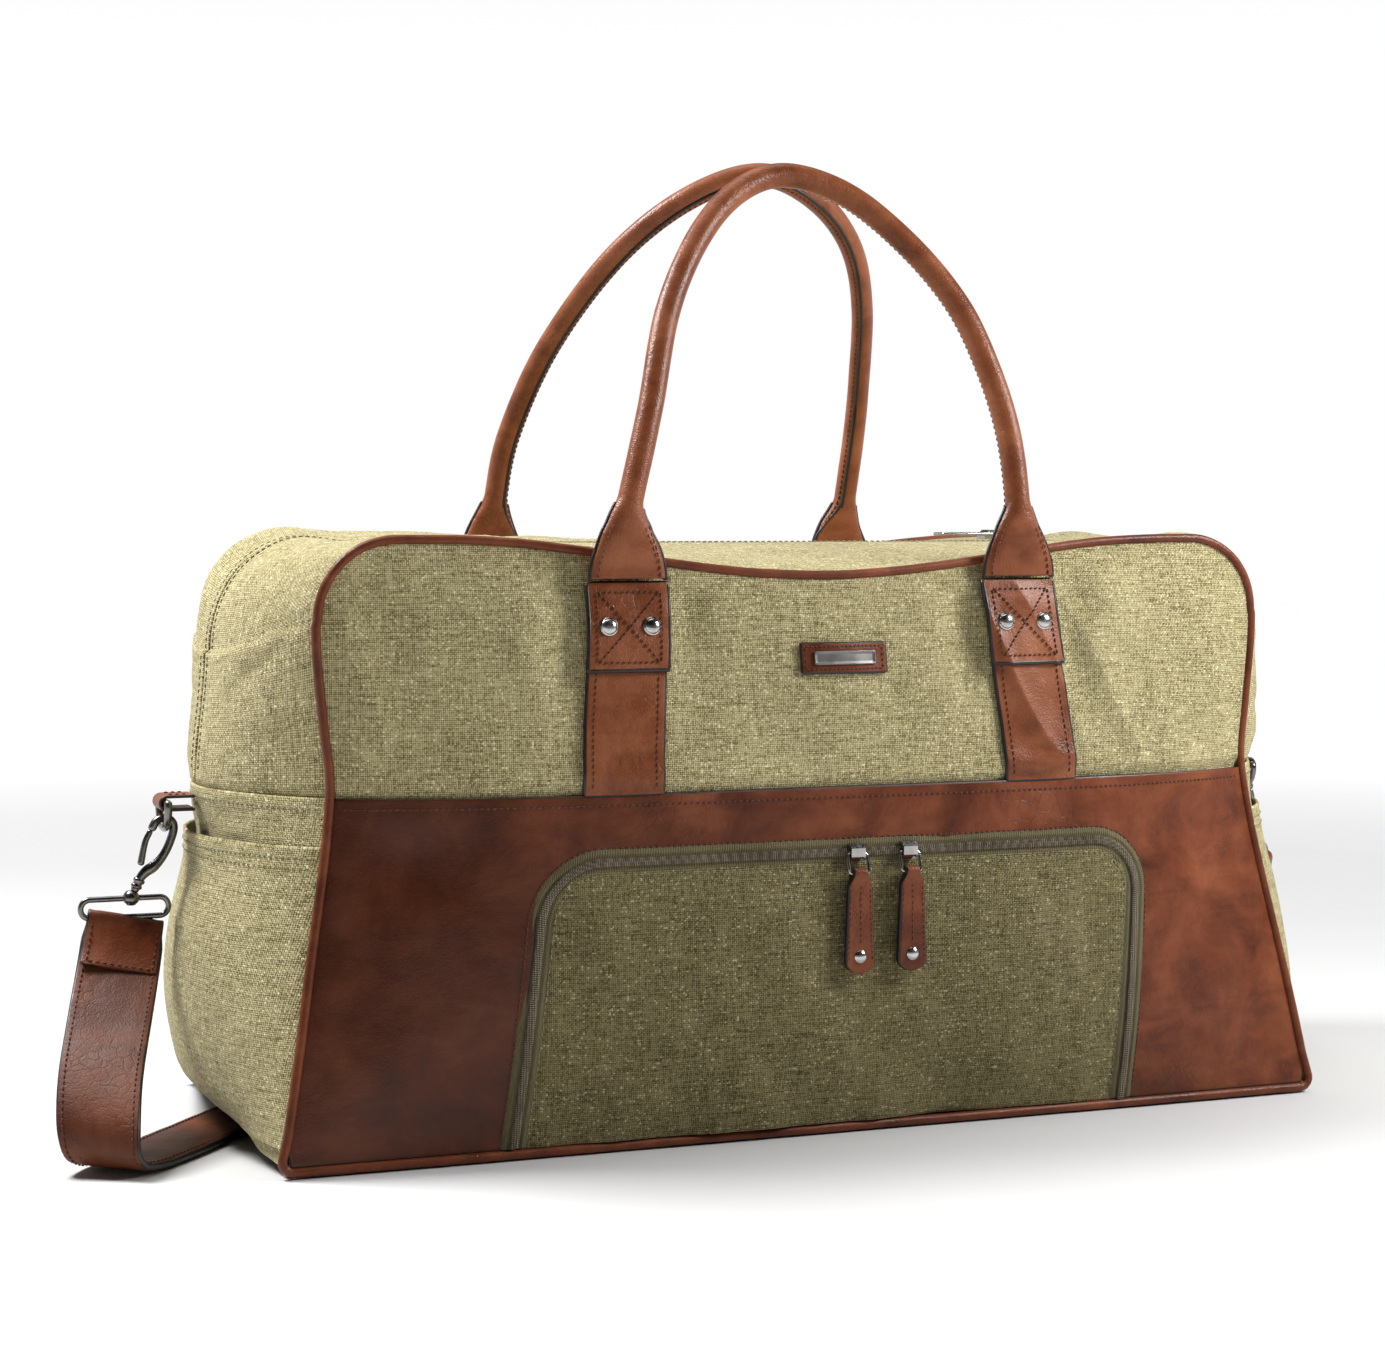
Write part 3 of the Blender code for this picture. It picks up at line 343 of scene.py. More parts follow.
def shell(name, P, thick, looks, body=None, outward=None, centre=None, cyclic=False, coords=None,
          bump=None, rim=5, shift=0.0, **links):
    """A sheet of points with real thickness behind its outer face and a rounded rim."""
    P = np.asarray(P, float)
    if coords is None:
        coords = metric(P)
    N = normals_of(P, cyclic)
    facing = (N * (np.asarray(outward) if outward is not None else unit(P - np.asarray(centre)))).sum(2)
    if np.median(facing) < 0:
        P, N, coords = P[:, ::-1], -N[:, ::-1], coords[:, ::-1]
        bump = bump[:, ::-1] if bump is not None else None
    P = P + N * shift
    if bump is not None:
        P = P + N * bump[..., None]
        N = normals_of(P, cyclic)
    rows, cols = P.shape[:2]
    back = P - N * thick
    count = rows * cols
    verts = [P.reshape(-1, 3), back.reshape(-1, 3)]
    spots = [coords.reshape(-1, 3), coords.reshape(-1, 3)]
    index = np.arange(count).reshape(rows, cols)
    ring = np.concatenate([index, index[:, :1]], 1) if cyclic else index
    quads = np.stack([ring[:-1, :-1], ring[:-1, 1:], ring[1:, 1:], ring[1:, :-1]], 2).reshape(-1, 4)
    faces = [quads, quads[:, ::-1] + count]
    marks = [np.zeros(len(quads), int), np.full(len(quads), 2)]
    out = np.zeros_like(P)
    gv = np.gradient(P, axis=0)
    out[0] -= unit(gv[0])
    out[-1] += unit(gv[-1])
    if cyclic:
        loops = [index[0], index[-1]]
    else:
        gu = np.gradient(P, axis=1)
        out[:, 0] -= unit(gu[:, 0])
        out[:, -1] += unit(gu[:, -1])
        loops = [np.concatenate([index[0, :-1], index[:-1, -1], index[-1, :0:-1], index[:0:-1, 0]])]
    flat_P, flat_N = P.reshape(-1, 3), N.reshape(-1, 3)
    flat_out = out.reshape(-1, 3)
    flat_out = unit(flat_out - flat_N * (flat_out * flat_N).sum(1, keepdims=True))
    total = 2 * count
    for loop in loops:
        before = loop
        for k in range(1, rim):
            angle = math.pi * k / rim
            verts.append(flat_P[loop] + flat_out[loop] * thick / 2 * math.sin(angle)
                         - flat_N[loop] * thick / 2 * (1 - math.cos(angle)))
            spots.append(coords.reshape(-1, 3)[loop] + (0, 0, thick * k / rim))
            here = total + np.arange(len(loop))
            total += len(loop)
            faces.append(np.stack([before, here, np.roll(here, -1), np.roll(before, -1)], 1))
            before = here
        here = loop + count
        faces.append(np.stack([before, here, np.roll(here, -1), np.roll(before, -1)], 1))
        marks.append(np.full(len(loop) * rim, 1))
    looks = tuple(looks) if not isinstance(looks, str) else (looks,) * 3
    return finish_mesh(name, np.concatenate(verts), np.concatenate(faces).tolist(), np.concatenate(spots),
                       np.concatenate(marks), looks, body, **links)


def spline(points, steps):
    """The stretches of a smooth curve between neighbouring points, each in equal steps."""
    padded = np.concatenate([[2 * points[0] - points[1]], points, [2 * points[-1] - points[-2]]])
    t = (np.arange(steps) / steps)[:, None]
    for k in range(len(points) - 1):
        p0, p1, p2, p3 = padded[k:k + 4]
        yield 0.5 * (2 * p1 + (p2 - p0) * t + (2 * p0 - 5 * p1 + 4 * p2 - p3) * t ** 2
                     + (3 * p1 - p0 - 3 * p2 + p3) * t ** 3)


def resample(points, count):
    """Even spacing along a smooth curve through the points."""
    points = np.asarray(points, float)
    return even(np.concatenate([*spline(points, 24), points[-1:]]), count)


def even(line, count):
    line = np.asarray(line, float)
    along = np.concatenate([[0], np.cumsum(np.linalg.norm(np.diff(line[:, :3], axis=0), axis=1))])
    want = np.linspace(0, along[-1], count)
    return np.stack([np.interp(want, along, line[:, k]) for k in range(line.shape[1])], 1)


def directions(C, closed=False):
    if closed:
        return unit(np.roll(C, -1, 0) - np.roll(C, 1, 0))
    return unit(np.gradient(C, axis=0))


def circle(sides, radius=1.0):
    angle = 2 * math.pi * np.arange(sides) / sides
    return np.stack([radius * np.cos(angle), radius * np.sin(angle)], 1)


def sweep(name, C, A, B, profile, looks, body=None, closed=False, marks=None, domed=0.0, **links):
    """A closed section swept along a line; axes A and B place the section at each station."""
    C = np.asarray(C, float)
    A = np.broadcast_to(np.asarray(A, float), C.shape)
    B = np.broadcast_to(np.asarray(B, float), C.shape)
    profile = np.asarray(profile, float)
    if profile.ndim == 2:
        profile = np.broadcast_to(profile, (len(C), *profile.shape))
    if domed and not closed:
        T = directions(C)
        steps = np.radians([80, 55, 28])
        first = [C[0] - T[0] * domed * math.sin(a) for a in steps]
        last = [C[-1] + T[-1] * domed * math.sin(a) for a in steps[::-1]]
        scale = np.cos(steps)
        C = np.concatenate([first, C, last])
        A = np.concatenate([[A[0]] * 3, A, [A[-1]] * 3])
        B = np.concatenate([[B[0]] * 3, B, [B[-1]] * 3])
        profile = np.concatenate([profile[0] * scale[:, None, None], profile,
                                  profile[-1] * scale[::-1, None, None]])
    count, sides = len(C), profile.shape[1]
    verts = (C[:, None] + profile[..., :1] * A[:, None] + profile[..., 1:] * B[:, None]).reshape(-1, 3)
    along = np.concatenate([[0], np.cumsum(np.linalg.norm(np.diff(C, axis=0), axis=1))])
    step = np.linalg.norm(np.diff(profile, axis=1, append=profile[:, :1]), axis=2)
    around = np.concatenate([np.zeros((count, 1)), np.cumsum(step, 1)[:, :-1]], 1)
    coords = np.stack([around, np.broadcast_to(along[:, None], around.shape), 0 * around], 2)
    index = np.arange(count * sides).reshape(count, sides)
    here = index if closed else index[:-1]
    there = np.roll(index, -1, 0) if closed else index[1:]
    quads = np.stack([here, np.roll(here, -1, 1), np.roll(there, -1, 1), there], 2).reshape(-1, 4)
    faces = quads.tolist()
    kinds = np.tile(np.asarray(marks) if marks is not None else np.zeros(sides, int), len(here)).tolist()
    if not closed:
        faces += [index[0].tolist(), index[-1][::-1].tolist()]
        kinds += [int(max(kinds))] * 2
    looks = (looks,) if isinstance(looks, str) else looks
    return finish_mesh(name, verts, faces, coords.reshape(-1, 3), kinds, looks, body, **links)


def tube(name, C, radius, up, looks, body=None, sides=16, closed=False, **links):
    C = np.asarray(C, float)
    T = directions(C, closed)
    up = np.broadcast_to(np.asarray(up, float), C.shape)
    A = unit(np.cross(up, T))
    B = unit(np.cross(T, A))
    ring = circle(sides)
    radius = np.broadcast_to(np.asarray(radius, float), len(C))
    links.setdefault("domed", 0.0 if closed else float(radius[0]) * 0.9)
    return sweep(name, C, A, B, ring[None] * radius[:, None, None], looks, body, closed, **links)


def revolve(name, centre, axis, profile, looks, body=None, sides=32, **links):
    """A turned piece: profile is (radius, height) pairs from one end of the axis to the other."""
    centre, axis = np.asarray(centre, float), unit(np.asarray(axis, float))
    side = unit(np.cross(axis, (0.31, 0.17, 0.93)))
    other = np.cross(axis, side)
    profile = np.asarray(profile, float)
    C = centre + profile[:, 1:] * axis
    return sweep(name, C, side, other, circle(sides)[None] * profile[:, 0][:, None, None], looks, body,
                 **links)


def sew(group, points, normals, pitch=3.1 * MM, length=2.15 * MM, radius=0.40 * MM, sink=0.1):
    """Queue a row of raised stitches along a line that lies on a surface."""
    points = np.asarray(points, float)
    normals = np.broadcast_to(np.asarray(normals, float), points.shape)
    total = np.linalg.norm(np.diff(points, axis=0), axis=1).sum()
    count = max(int(total / pitch), 1)
    both = even(np.concatenate([points, normals], 1), count + 1)
    spots = (both[1:] + both[:-1]) / 2
    along = unit(both[1:, :3] - both[:-1, :3])
    N = unit(spots[:, 3:])
    across = unit(np.cross(along, N))
    stations = np.array([-1.0, -0.72, 0.0, 0.72, 1.0]) * length / 2
    swell = np.array([0.3, 0.85, 1.0, 0.85, 0.3]) * radius
    ring = circle(6)
    centres = spots[:, :3] + N * radius * (1 - 2 * sink) * 0.5
    body = (centres[:, None, None] + stations[None, :, None, None] * along[:, None, None]
            + swell[None, :, None, None] * (ring[None, None, :, :1] * across[:, None, None]
                                            + ring[None, None, :, 1:] * N[:, None, None]))
    dip = (np.array([1.0, 0.35, 0.0, 0.35, 1.0]) * radius * 0.9)[None, :, None, None] * N[:, None, None]
    STITCHES.setdefault(group, []).append((body - dip).reshape(-1, 3))


def bar_faces(verts, stations, sides=6):
    """Faces of many equal bars: all their sides, then their caps."""
    index = np.arange(stations * sides).reshape(stations, sides)
    quads = np.stack([index[:-1], np.roll(index[:-1], -1, 1), np.roll(index[1:], -1, 1), index[1:]],
                     2).reshape(-1, 4)
    offset = stations * sides * np.arange(len(verts) // (stations * sides))[:, None, None]
    faces = (quads[None] + offset).reshape(-1, 4).tolist()
    faces += (index[0][None, ::-1] + offset[:, 0]).tolist()
    return faces + (index[-1][None] + offset[:, 0]).tolist()


def lay_stitches():
    """Turn the queued stitches into one mesh for each body and thread."""
    for (body, mouth, look), rows in STITCHES.items():
        verts = np.concatenate(rows)
        finish_mesh(f"stitching_{mouth or body}_{look}", verts, bar_faces(verts, 5), verts, None, (look,),
                    body, mouth=mouth, recalc=False)


def blocks(name, centres, A, B, N, size, looks, body=None, **links):
    """Many small rounded bars, such as a zip's coil, as one mesh."""
    half = np.asarray(size) / 2
    stations = np.array([-1.0, -0.6, 0.6, 1.0])
    shrink = np.array([0.55, 1.0, 1.0, 0.55])
    ring = circle(6)
    verts = (centres[:, None, None] + (stations * half[0])[None, :, None, None] * A[:, None, None]
             + shrink[None, :, None, None] * (ring[None, None, :, :1] * half[1] * B[:, None, None]
                                              + ring[None, None, :, 1:] * half[2] * N[:, None, None]))
    verts = verts.reshape(-1, 3)
    return finish_mesh(name, verts, bar_faces(verts, 4), verts, None, (looks,), body, **links)

# ---------------------------------------------------------------- materials

class Look:
    """A Principled material built from a short chain of nodes."""

    def __init__(self, name, metallic=0.0, roughness=0.5, sheen=0.0, specular=0.5):
        self.material = bpy.data.materials.new(name)
        self.material.use_nodes = True
        self.tree = self.material.node_tree
        self.shader = self.tree.nodes["Principled BSDF"]
        self.shader.inputs["Metallic"].default_value = metallic
        self.shader.inputs["Roughness"].default_value = roughness
        self.shader.inputs["Sheen Weight"].default_value = sheen
        self.shader.inputs["Specular IOR Level"].default_value = specular
        LOOKS[name] = self.material
        self.place = self.add("ShaderNodeAttribute", attribute_name="cloth").outputs["Vector"]
        self.object = self.add("ShaderNodeTexCoord").outputs["Object"]

    def add(self, kind, **settings):
        node = self.tree.nodes.new(kind)
        for key, value in settings.items():
            if key in node.inputs:
                if isinstance(value, bpy.types.NodeSocket):
                    self.tree.links.new(value, node.inputs[key])
                else:
                    node.inputs[key].default_value = value
            else:
                setattr(node, key, value)
        return node

    def math(self, operation, a, b=None):
        node = self.tree.nodes.new("ShaderNodeMath")
        node.operation = operation
        for socket, value in zip(node.inputs, (a, b)):
            if value is None:
                continue
            if isinstance(value, bpy.types.NodeSocket):
                self.tree.links.new(value, socket)
            else:
                socket.default_value = value
        return node.outputs[0]

    def mix_of(self, *parts):
        """The sum of the parts, each (value, share)."""
        total = None
        for value, share in parts:
            term = self.math("MULTIPLY", value, share)
            total = term if total is None else self.math("ADD", total, term)
        return total

    def scaled(self, vector, factors):
        node = self.add("ShaderNodeVectorMath", operation="MULTIPLY")
        self.tree.links.new(vector, node.inputs[0])
        node.inputs[1].default_value = factors
        return node.outputs[0]

    def noise(self, vector, scale, detail=3.0, rough=0.55, distortion=0.0):
        return self.add("ShaderNodeTexNoise", Vector=vector, Scale=scale, Detail=detail, Roughness=rough,
                        Distortion=distortion).outputs["Fac"]

    def ramp(self, factor, stops):
        node = self.tree.nodes.new("ShaderNodeValToRGB")
        self.tree.links.new(factor, node.inputs[0])
        band = node.color_ramp
        while len(band.elements) < len(stops):
            band.elements.new(0.5)
        for element, (place, colour) in zip(band.elements, stops):
            element.position = place
            element.color = (*colour, 1.0) if isinstance(colour, tuple) else (colour, colour, colour, 1.0)
        return node.outputs[0]

    def blend(self, factor, a, b):
        node = self.tree.nodes.new("ShaderNodeMix")
        node.data_type = "RGBA"
        for socket, value in ((node.inputs[0], factor), (node.inputs[6], a), (node.inputs[7], b)):
            if isinstance(value, bpy.types.NodeSocket):
                self.tree.links.new(value, socket)
            elif isinstance(value, tuple):
                socket.default_value = (*value, 1.0)
            else:
                socket.default_value = value
        return node.outputs[2]

    def relief(self, height, depth, strength=1.0, under=None):
        node = self.add("ShaderNodeBump", Height=height, Distance=depth, Strength=strength)
        if under is not None:
            self.tree.links.new(under, node.inputs["Normal"])
        return node.outputs["Normal"]

    def colour(self, value):
        self.tree.links.new(value, self.shader.inputs["Base Color"])

    def rough(self, value):
        self.tree.links.new(value, self.shader.inputs["Roughness"])

    def lift(self, value):
        self.shader.inputs["Emission Color"].default_value = (1.0, 1.0, 1.0, 1.0)
        self.tree.links.new(value, self.shader.inputs["Emission Strength"])

    def normal(self, value):
        self.tree.links.new(value, self.shader.inputs["Normal"])


def canvas(name, dark, mid, light, fleck, pitch=0.92 * MM):
    """Slubbed plain weave: uneven threads both ways, pale flecks where a thread knots."""
    look = Look(name, roughness=0.92, sheen=0.10, specular=0.25)
    split = look.add("ShaderNodeSeparateXYZ", Vector=look.place)
    u, v = split.outputs[0], split.outputs[1]
    sway = look.noise(look.place, 90.0, 2.0)
    u_ = look.math("ADD", look.math("DIVIDE", u, pitch), look.math("MULTIPLY", sway, 0.8))
    v_ = look.math("ADD", look.math("DIVIDE", v, pitch), look.math("MULTIPLY", sway, 0.7))
    weft_ridge = look.math("ABSOLUTE", look.math("SINE", look.math("MULTIPLY", v_, math.pi)))
    warp_ridge = look.math("ABSOLUTE", look.math("SINE", look.math("MULTIPLY", u_, math.pi)))
    cell_u, cell_v = look.math("FLOOR", u_), look.math("FLOOR", v_)
    over = look.math("MODULO", look.math("ADD", cell_u, cell_v), 2.0)
    over = look.math("GREATER_THAN", look.math("ABSOLUTE", over), 0.5)
    height = look.math("ADD", look.math("MULTIPLY", over, weft_ridge),
                       look.math("MULTIPLY", look.math("SUBTRACT", 1.0, over), warp_ridge))
    cell = look.add("ShaderNodeCombineXYZ", X=cell_u, Y=cell_v).outputs[0]
    grain = look.add("ShaderNodeTexWhiteNoise", noise_dimensions="3D", Vector=cell).outputs["Value"]
    weft_line = look.noise(look.scaled(look.place, (70.0, 1 / pitch, 1.0)), 1.0, 1.0)
    warp_line = look.noise(look.scaled(look.place, (1 / pitch, 55.0, 1.0)), 1.0, 1.0)
    cloudy = look.noise(look.object, 24.0, 4.0, 0.6)
    slub = look.noise(look.scaled(look.place, (42.0, 0.5 / pitch, 1.0)), 1.0, 1.0)
    tone = look.mix_of((weft_line, 0.80), (warp_line, 0.60), (slub, 0.25), (grain, 0.45), (cloudy, 0.30),
                       (height, 0.85))
    base = look.ramp(look.math("MULTIPLY", tone, 0.30), [(0.43, dark), (0.505, mid), (0.585, light)])
    knots = look.math("GREATER_THAN", grain, 0.955)
    knots = look.math("MULTIPLY", knots, look.math("GREATER_THAN", weft_line, 0.47))
    base = look.blend(look.math("MULTIPLY", knots, 0.62), base, fleck)
    look.colour(base)
    look.rough(look.ramp(cloudy, [(0.2, 0.86), (0.8, 0.96)]))
    uneven = look.math("ADD", height, look.math("MULTIPLY", weft_line, 1.2))
    cloth = look.relief(cloudy, 1.2 * MM, 0.35)
    look.normal(look.relief(uneven, 0.38 * MM, 0.7, cloth))
    return look


def leather(name, dark, mid, light, gloss=0.36, patch=26.0, deep=0.8, shade_lower_left=False):
    """Waxed pull-up leather: clouded tan, darker in patches, fine pores and long creases."""
    look = Look(name, roughness=gloss, specular=0.27)
    cloud = look.noise(look.object, patch, 5.0, 0.62, 0.4)
    smear = look.noise(look.scaled(look.object, (18.0, 18.0, 46.0)), 1.0, 4.0, 0.6, 1.2)
    tone = look.mix_of((cloud, 0.72), (smear, 0.34))
    base = look.ramp(tone, [(0.34, dark), (0.53, mid), (0.74, light)])
    warped = look.add("ShaderNodeVectorMath", operation="ADD")
    look.tree.links.new(look.object, warped.inputs[0])
    shove = look.add("ShaderNodeTexNoise", Vector=look.object, Scale=60.0, Detail=2.0).outputs["Color"]
    look.tree.links.new(look.scaled(shove, (0.012, 0.012, 0.012)), warped.inputs[1])
    crease = look.add("ShaderNodeTexVoronoi", feature="DISTANCE_TO_EDGE", Vector=warped.outputs[0],
                      Scale=150.0).outputs["Distance"]
    crease = look.ramp(crease, [(0.0, 0.0), (0.055, 0.75), (0.20, 1.0)])
    where = look.ramp(look.noise(look.object, 15.0, 2.0), [(0.50, 0.0), (0.68, 1.0)])
    pores = look.add("ShaderNodeTexVoronoi", Vector=look.object, Scale=1150.0).outputs["Distance"]
    fine = look.noise(look.object, 620.0, 3.0, 0.6)
    lines = look.math("MULTIPLY", look.math("SUBTRACT", 1.0, crease), where)
    worn = look.blend(look.math("MULTIPLY", lines, 0.22), base, tuple(0.35 * c for c in dark))
    if shade_lower_left:
        # painted shade: the hide is darkened towards the lower left, standing for the shade that falls
        # there
        corner = look.add("ShaderNodeVectorMath", operation="DOT_PRODUCT")
        look.tree.links.new(look.object, corner.inputs[0])
        corner.inputs[1].default_value = (2.6, 0.0, 3.4)
        patchy = look.math("MULTIPLY", look.math("SUBTRACT", cloud, 0.5), 0.7)
        toward = look.math("ADD", corner.outputs["Value"], patchy)
        share = look.ramp(toward, [(0.0, 0.64), (0.45, 0.28), (0.75, 0.0)])
        worn = look.blend(share, worn, tuple(0.55 * c for c in dark))
    # the colour holds the crease wear and, where asked, the painted shade towards the lower left
    look.colour(worn)
    handled = look.mix_of((cloud, 0.7), (fine, 0.3))
    look.rough(look.ramp(handled, [(0.3, gloss - 0.10), (0.72, gloss + 0.16)]))
    first = look.relief(look.math("SUBTRACT", 1.0, lines), 0.5 * MM, 0.42 * deep)
    second = look.relief(look.math("ADD", pores, fine), 0.16 * MM, 0.8 * deep, first)
    look.normal(look.relief(cloud, 2.2 * MM, 0.45 * deep, second))
    return look


def painted_edge(name, colour, gloss=0.36):
    look = Look(name, roughness=gloss)
    patchy = look.noise(look.object, 160.0, 3.0)
    dark, light = (tuple(c * tone for c in colour) for tone in (0.6, 1.5))
    look.colour(look.ramp(patchy, [(0.35, dark), (0.7, light)]))
    look.rough(look.ramp(patchy, [(0.3, gloss - 0.06), (0.7, gloss + 0.12)]))
    look.normal(look.relief(look.noise(look.object, 700.0, 2.0), 0.15 * MM, 0.5))
    return look


def thread(name, dark, light):
    look = Look(name, roughness=0.7, sheen=0.1, specular=0.3)
    ply = look.add("ShaderNodeTexWave", Vector=look.object, Scale=520.0, Distortion=1.5).outputs["Fac"]
    worn = look.noise(look.object, 240.0, 2.0)
    look.colour(look.ramp(look.mix_of((ply, 0.4), (worn, 0.6)), [(0.25, dark), (0.75, light)]))
    look.normal(look.relief(ply, 0.12 * MM, 0.6))
    return look


def metal(name, dark, light, rough_low, rough_high):
    """Plated casting: slight clouding, fine handling marks and a trace of unevenness."""
    look = Look(name, metallic=1.0, roughness=rough_low)
    cloud = look.noise(look.object, 130.0, 4.0)
    scuff = look.noise(look.scaled(look.object, (900.0, 260.0, 420.0)), 1.0, 3.0)
    look.colour(look.ramp(cloud, [(0.3, dark), (0.7, light)]))
    handled = look.mix_of((cloud, 0.5), (scuff, 0.5))
    look.rough(look.ramp(handled, [(0.35, rough_low), (0.65, rough_high)]))
    look.normal(look.relief(cloud, 0.25 * MM, 0.25))
    return look


def tape(name, dark, light):
    """Woven zip tape: fine ribs across its width."""
    look = Look(name, roughness=0.85, sheen=0.08, specular=0.3)
    ribs = look.add("ShaderNodeTexWave", Vector=look.place, Scale=260.0, Distortion=0.6,
                    Detail=1.0).outputs["Fac"]
    slub = look.noise(look.scaled(look.place, (260.0, 900.0, 1.0)), 1.0, 2.0)
    cloud = look.noise(look.object, 40.0, 3.0)
    tone = look.mix_of((ribs, 0.35), (slub, 0.35), (cloud, 0.35))
    look.colour(look.ramp(tone, [(0.3, dark), (0.8, light)]))
    look.normal(look.relief(look.math("ADD", ribs, slub), 0.22 * MM, 0.6))
    return look


def make_looks():
    canvas("canvas", (0.108, 0.082, 0.026), (0.325, 0.276, 0.112), (0.600, 0.526, 0.290),
           (0.90, 0.83, 0.56))
    canvas("dark_canvas", (0.038, 0.028, 0.008), (0.122, 0.100, 0.036), (0.260, 0.220, 0.100),
           (0.52, 0.46, 0.29))
    canvas("lining", (0.050, 0.040, 0.028), (0.085, 0.070, 0.048), (0.13, 0.11, 0.08), (0.16, 0.13, 0.10),
           pitch=0.5 * MM)
    leather("leather", (0.056, 0.0115, 0.0038), (0.146, 0.0355, 0.0115), (0.250, 0.072, 0.0270))
    # the band's leather carries painted shade, darker towards its lower left
    leather("band_leather", (0.056, 0.0115, 0.0038), (0.165, 0.0400, 0.0130), (0.290, 0.084, 0.0320),
            shade_lower_left=True)
    leather("strap_leather", (0.036, 0.0078, 0.0026), (0.098, 0.0245, 0.0080), (0.175, 0.050, 0.0180),
            gloss=0.50)
    leather("handle_leather", (0.110, 0.027, 0.0095), (0.225, 0.066, 0.0245), (0.320, 0.110, 0.046),
            gloss=0.33, patch=40.0)
    leather("pale_leather", (0.135, 0.052, 0.033), (0.235, 0.100, 0.066), (0.36, 0.175, 0.125), gloss=0.46,
            patch=60.0)
    painted_edge("edge_paint", (0.014, 0.009, 0.008))
    painted_edge("edge_brown", (0.040, 0.016, 0.010), 0.42)
    thread("brown_thread", (0.045, 0.012, 0.005), (0.150, 0.048, 0.020))
    thread("olive_thread", (0.14, 0.13, 0.062), (0.33, 0.31, 0.17))
    metal("nickel", (0.40, 0.39, 0.38), (0.62, 0.60, 0.58), 0.12, 0.26)
    metal("gunmetal", (0.13, 0.125, 0.12), (0.25, 0.24, 0.23), 0.16, 0.33)
    metal("brushed_plate", (0.16, 0.155, 0.15), (0.24, 0.23, 0.22), 0.40, 0.46)
    tape("zip_tape", (0.062, 0.050, 0.022), (0.190, 0.160, 0.078))
    tape("zip_coil", (0.100, 0.076, 0.050), (0.340, 0.290, 0.210))
    board = Look("board", roughness=0.8)
    board.colour(board.ramp(board.noise(board.object, 300.0, 4.0),
                            [(0.3, 0.02), (0.7, (0.06, 0.055, 0.05))]))
    board.normal(board.relief(board.noise(board.object, 500.0), 0.2 * MM, 0.5))
    floor = Look("floor", roughness=0.75)
    floor.colour(floor.ramp(floor.noise(floor.object, 3.0, 2.0), [(0.2, 0.62), (0.8, 0.66)]))
    # the sweep glows a little away from the bag, so that it runs out into the backdrop without an edge
    far = floor.add("ShaderNodeVectorMath", operation="LENGTH")
    floor.tree.links.new(floor.object, far.inputs[0])
    floor.lift(floor.ramp(floor.math("MULTIPLY", far.outputs["Value"], 0.25), [(0.10, 0.0), (0.50, 0.66)]))


make_looks()

# ---------------------------------------------------------------- shoulder strap

STRAP_LEFT = [((-0.3133, 0.0000, 0.1010), 0.0), ((-0.3185, -0.0120, 0.0830), 0.08),
              ((-0.3270, -0.0360, 0.0620), 0.3), ((-0.3355, -0.0620, 0.0420), 0.5),
              ((-0.3392, -0.0780, 0.0230), 0.65), ((-0.3370, -0.0785, 0.0085), 0.85),
              ((-0.3270, -0.0670, 0.0030), 1.0), ((-0.3065, -0.0450, 0.0024), 1.0),
              ((-0.2800, -0.0130, 0.0024), 1.0), ((-0.2500, 0.0230, 0.0024), 1.0),
              ((-0.2200, 0.0590, 0.0024), 1.0), ((-0.1900, 0.0950, 0.0024), 1.0),
              ((-0.1600, 0.1310, 0.0024), 1.15), ((-0.1280, 0.1680, 0.0), 1.5),
              ((-0.0900, 0.2000, 0.0), 1.85), ((-0.0500, 0.2180, 0.0), 2.0), ((0.0, 0.2200, 0.0), 2.0)]
STRAP_RIGHT = [((0.0520, 0.2180, 0.0), 2.0), ((0.1030, 0.2100, 0.0), 1.85),
               ((0.1520, 0.1960, 0.0), 1.5), ((0.1960, 0.1750, 0.0024), 1.15),
               ((0.2290, 0.1520, 0.0024), 1.0), ((0.2590, 0.1260, 0.0024), 1.0),
               ((0.2870, 0.0970, 0.0024), 1.0), ((0.3080, 0.0740, 0.0030), 1.0),
               ((0.3190, 0.0610, 0.0120), 0.85), ((0.3190, 0.0520, 0.0310), 0.6),
               ((0.3130, 0.0300, 0.0560), 0.3), ((0.3075, 0.0090, 0.0780), 0.08),
               ((0.3056, 0.0000, 0.0983), 0.0)]


def strap_line():
    """Centres, width directions and face directions along the strap."""
    stations = STRAP_LEFT + STRAP_RIGHT
    points, turns = (np.array(column) for column in zip(*stations))
    steps = 9
    C = np.concatenate([*spline(points, steps), points[-1:]])
    station = np.arange(len(C)) / steps
    turn = np.interp(station, np.arange(len(turns)), turns)
    mirrors = np.where(station <= len(STRAP_LEFT) - 1, 1.0, -1.0)
    flat = np.stack([np.full(len(C), STRAP_HEADING[1]), -mirrors * STRAP_HEADING[0], 0 * mirrors], 1)
    angle = np.where(mirrors > 0, SWIVEL_TURN[-1], SWIVEL_TURN[1])
    start = np.stack([np.cos(angle), np.sin(angle), 0 * angle], 1)
    swing = smoothstep(np.minimum(turn, 1.0))[:, None]
    width = unit(start * (1 - swing) + flat * swing)
    stand = smoothstep(np.maximum(turn - 1.0, 0.0)) * math.pi / 2
    upright = np.stack([0 * mirrors, 0 * mirrors, -mirrors], 1)
    width = width * np.cos(stand)[:, None] + upright * np.sin(stand)[:, None]
    high = turn > 1.0
    C[high, 2] = 0.0024 + (STRAP_WIDTH / 2 * np.sin(stand) + 3.8 * MM * np.sin(stand) ** 2)[high]
    T = directions(C)
    width = unit(width - T * (width * T).sum(1, keepdims=True))
    return C, width, unit(np.cross(T, width))


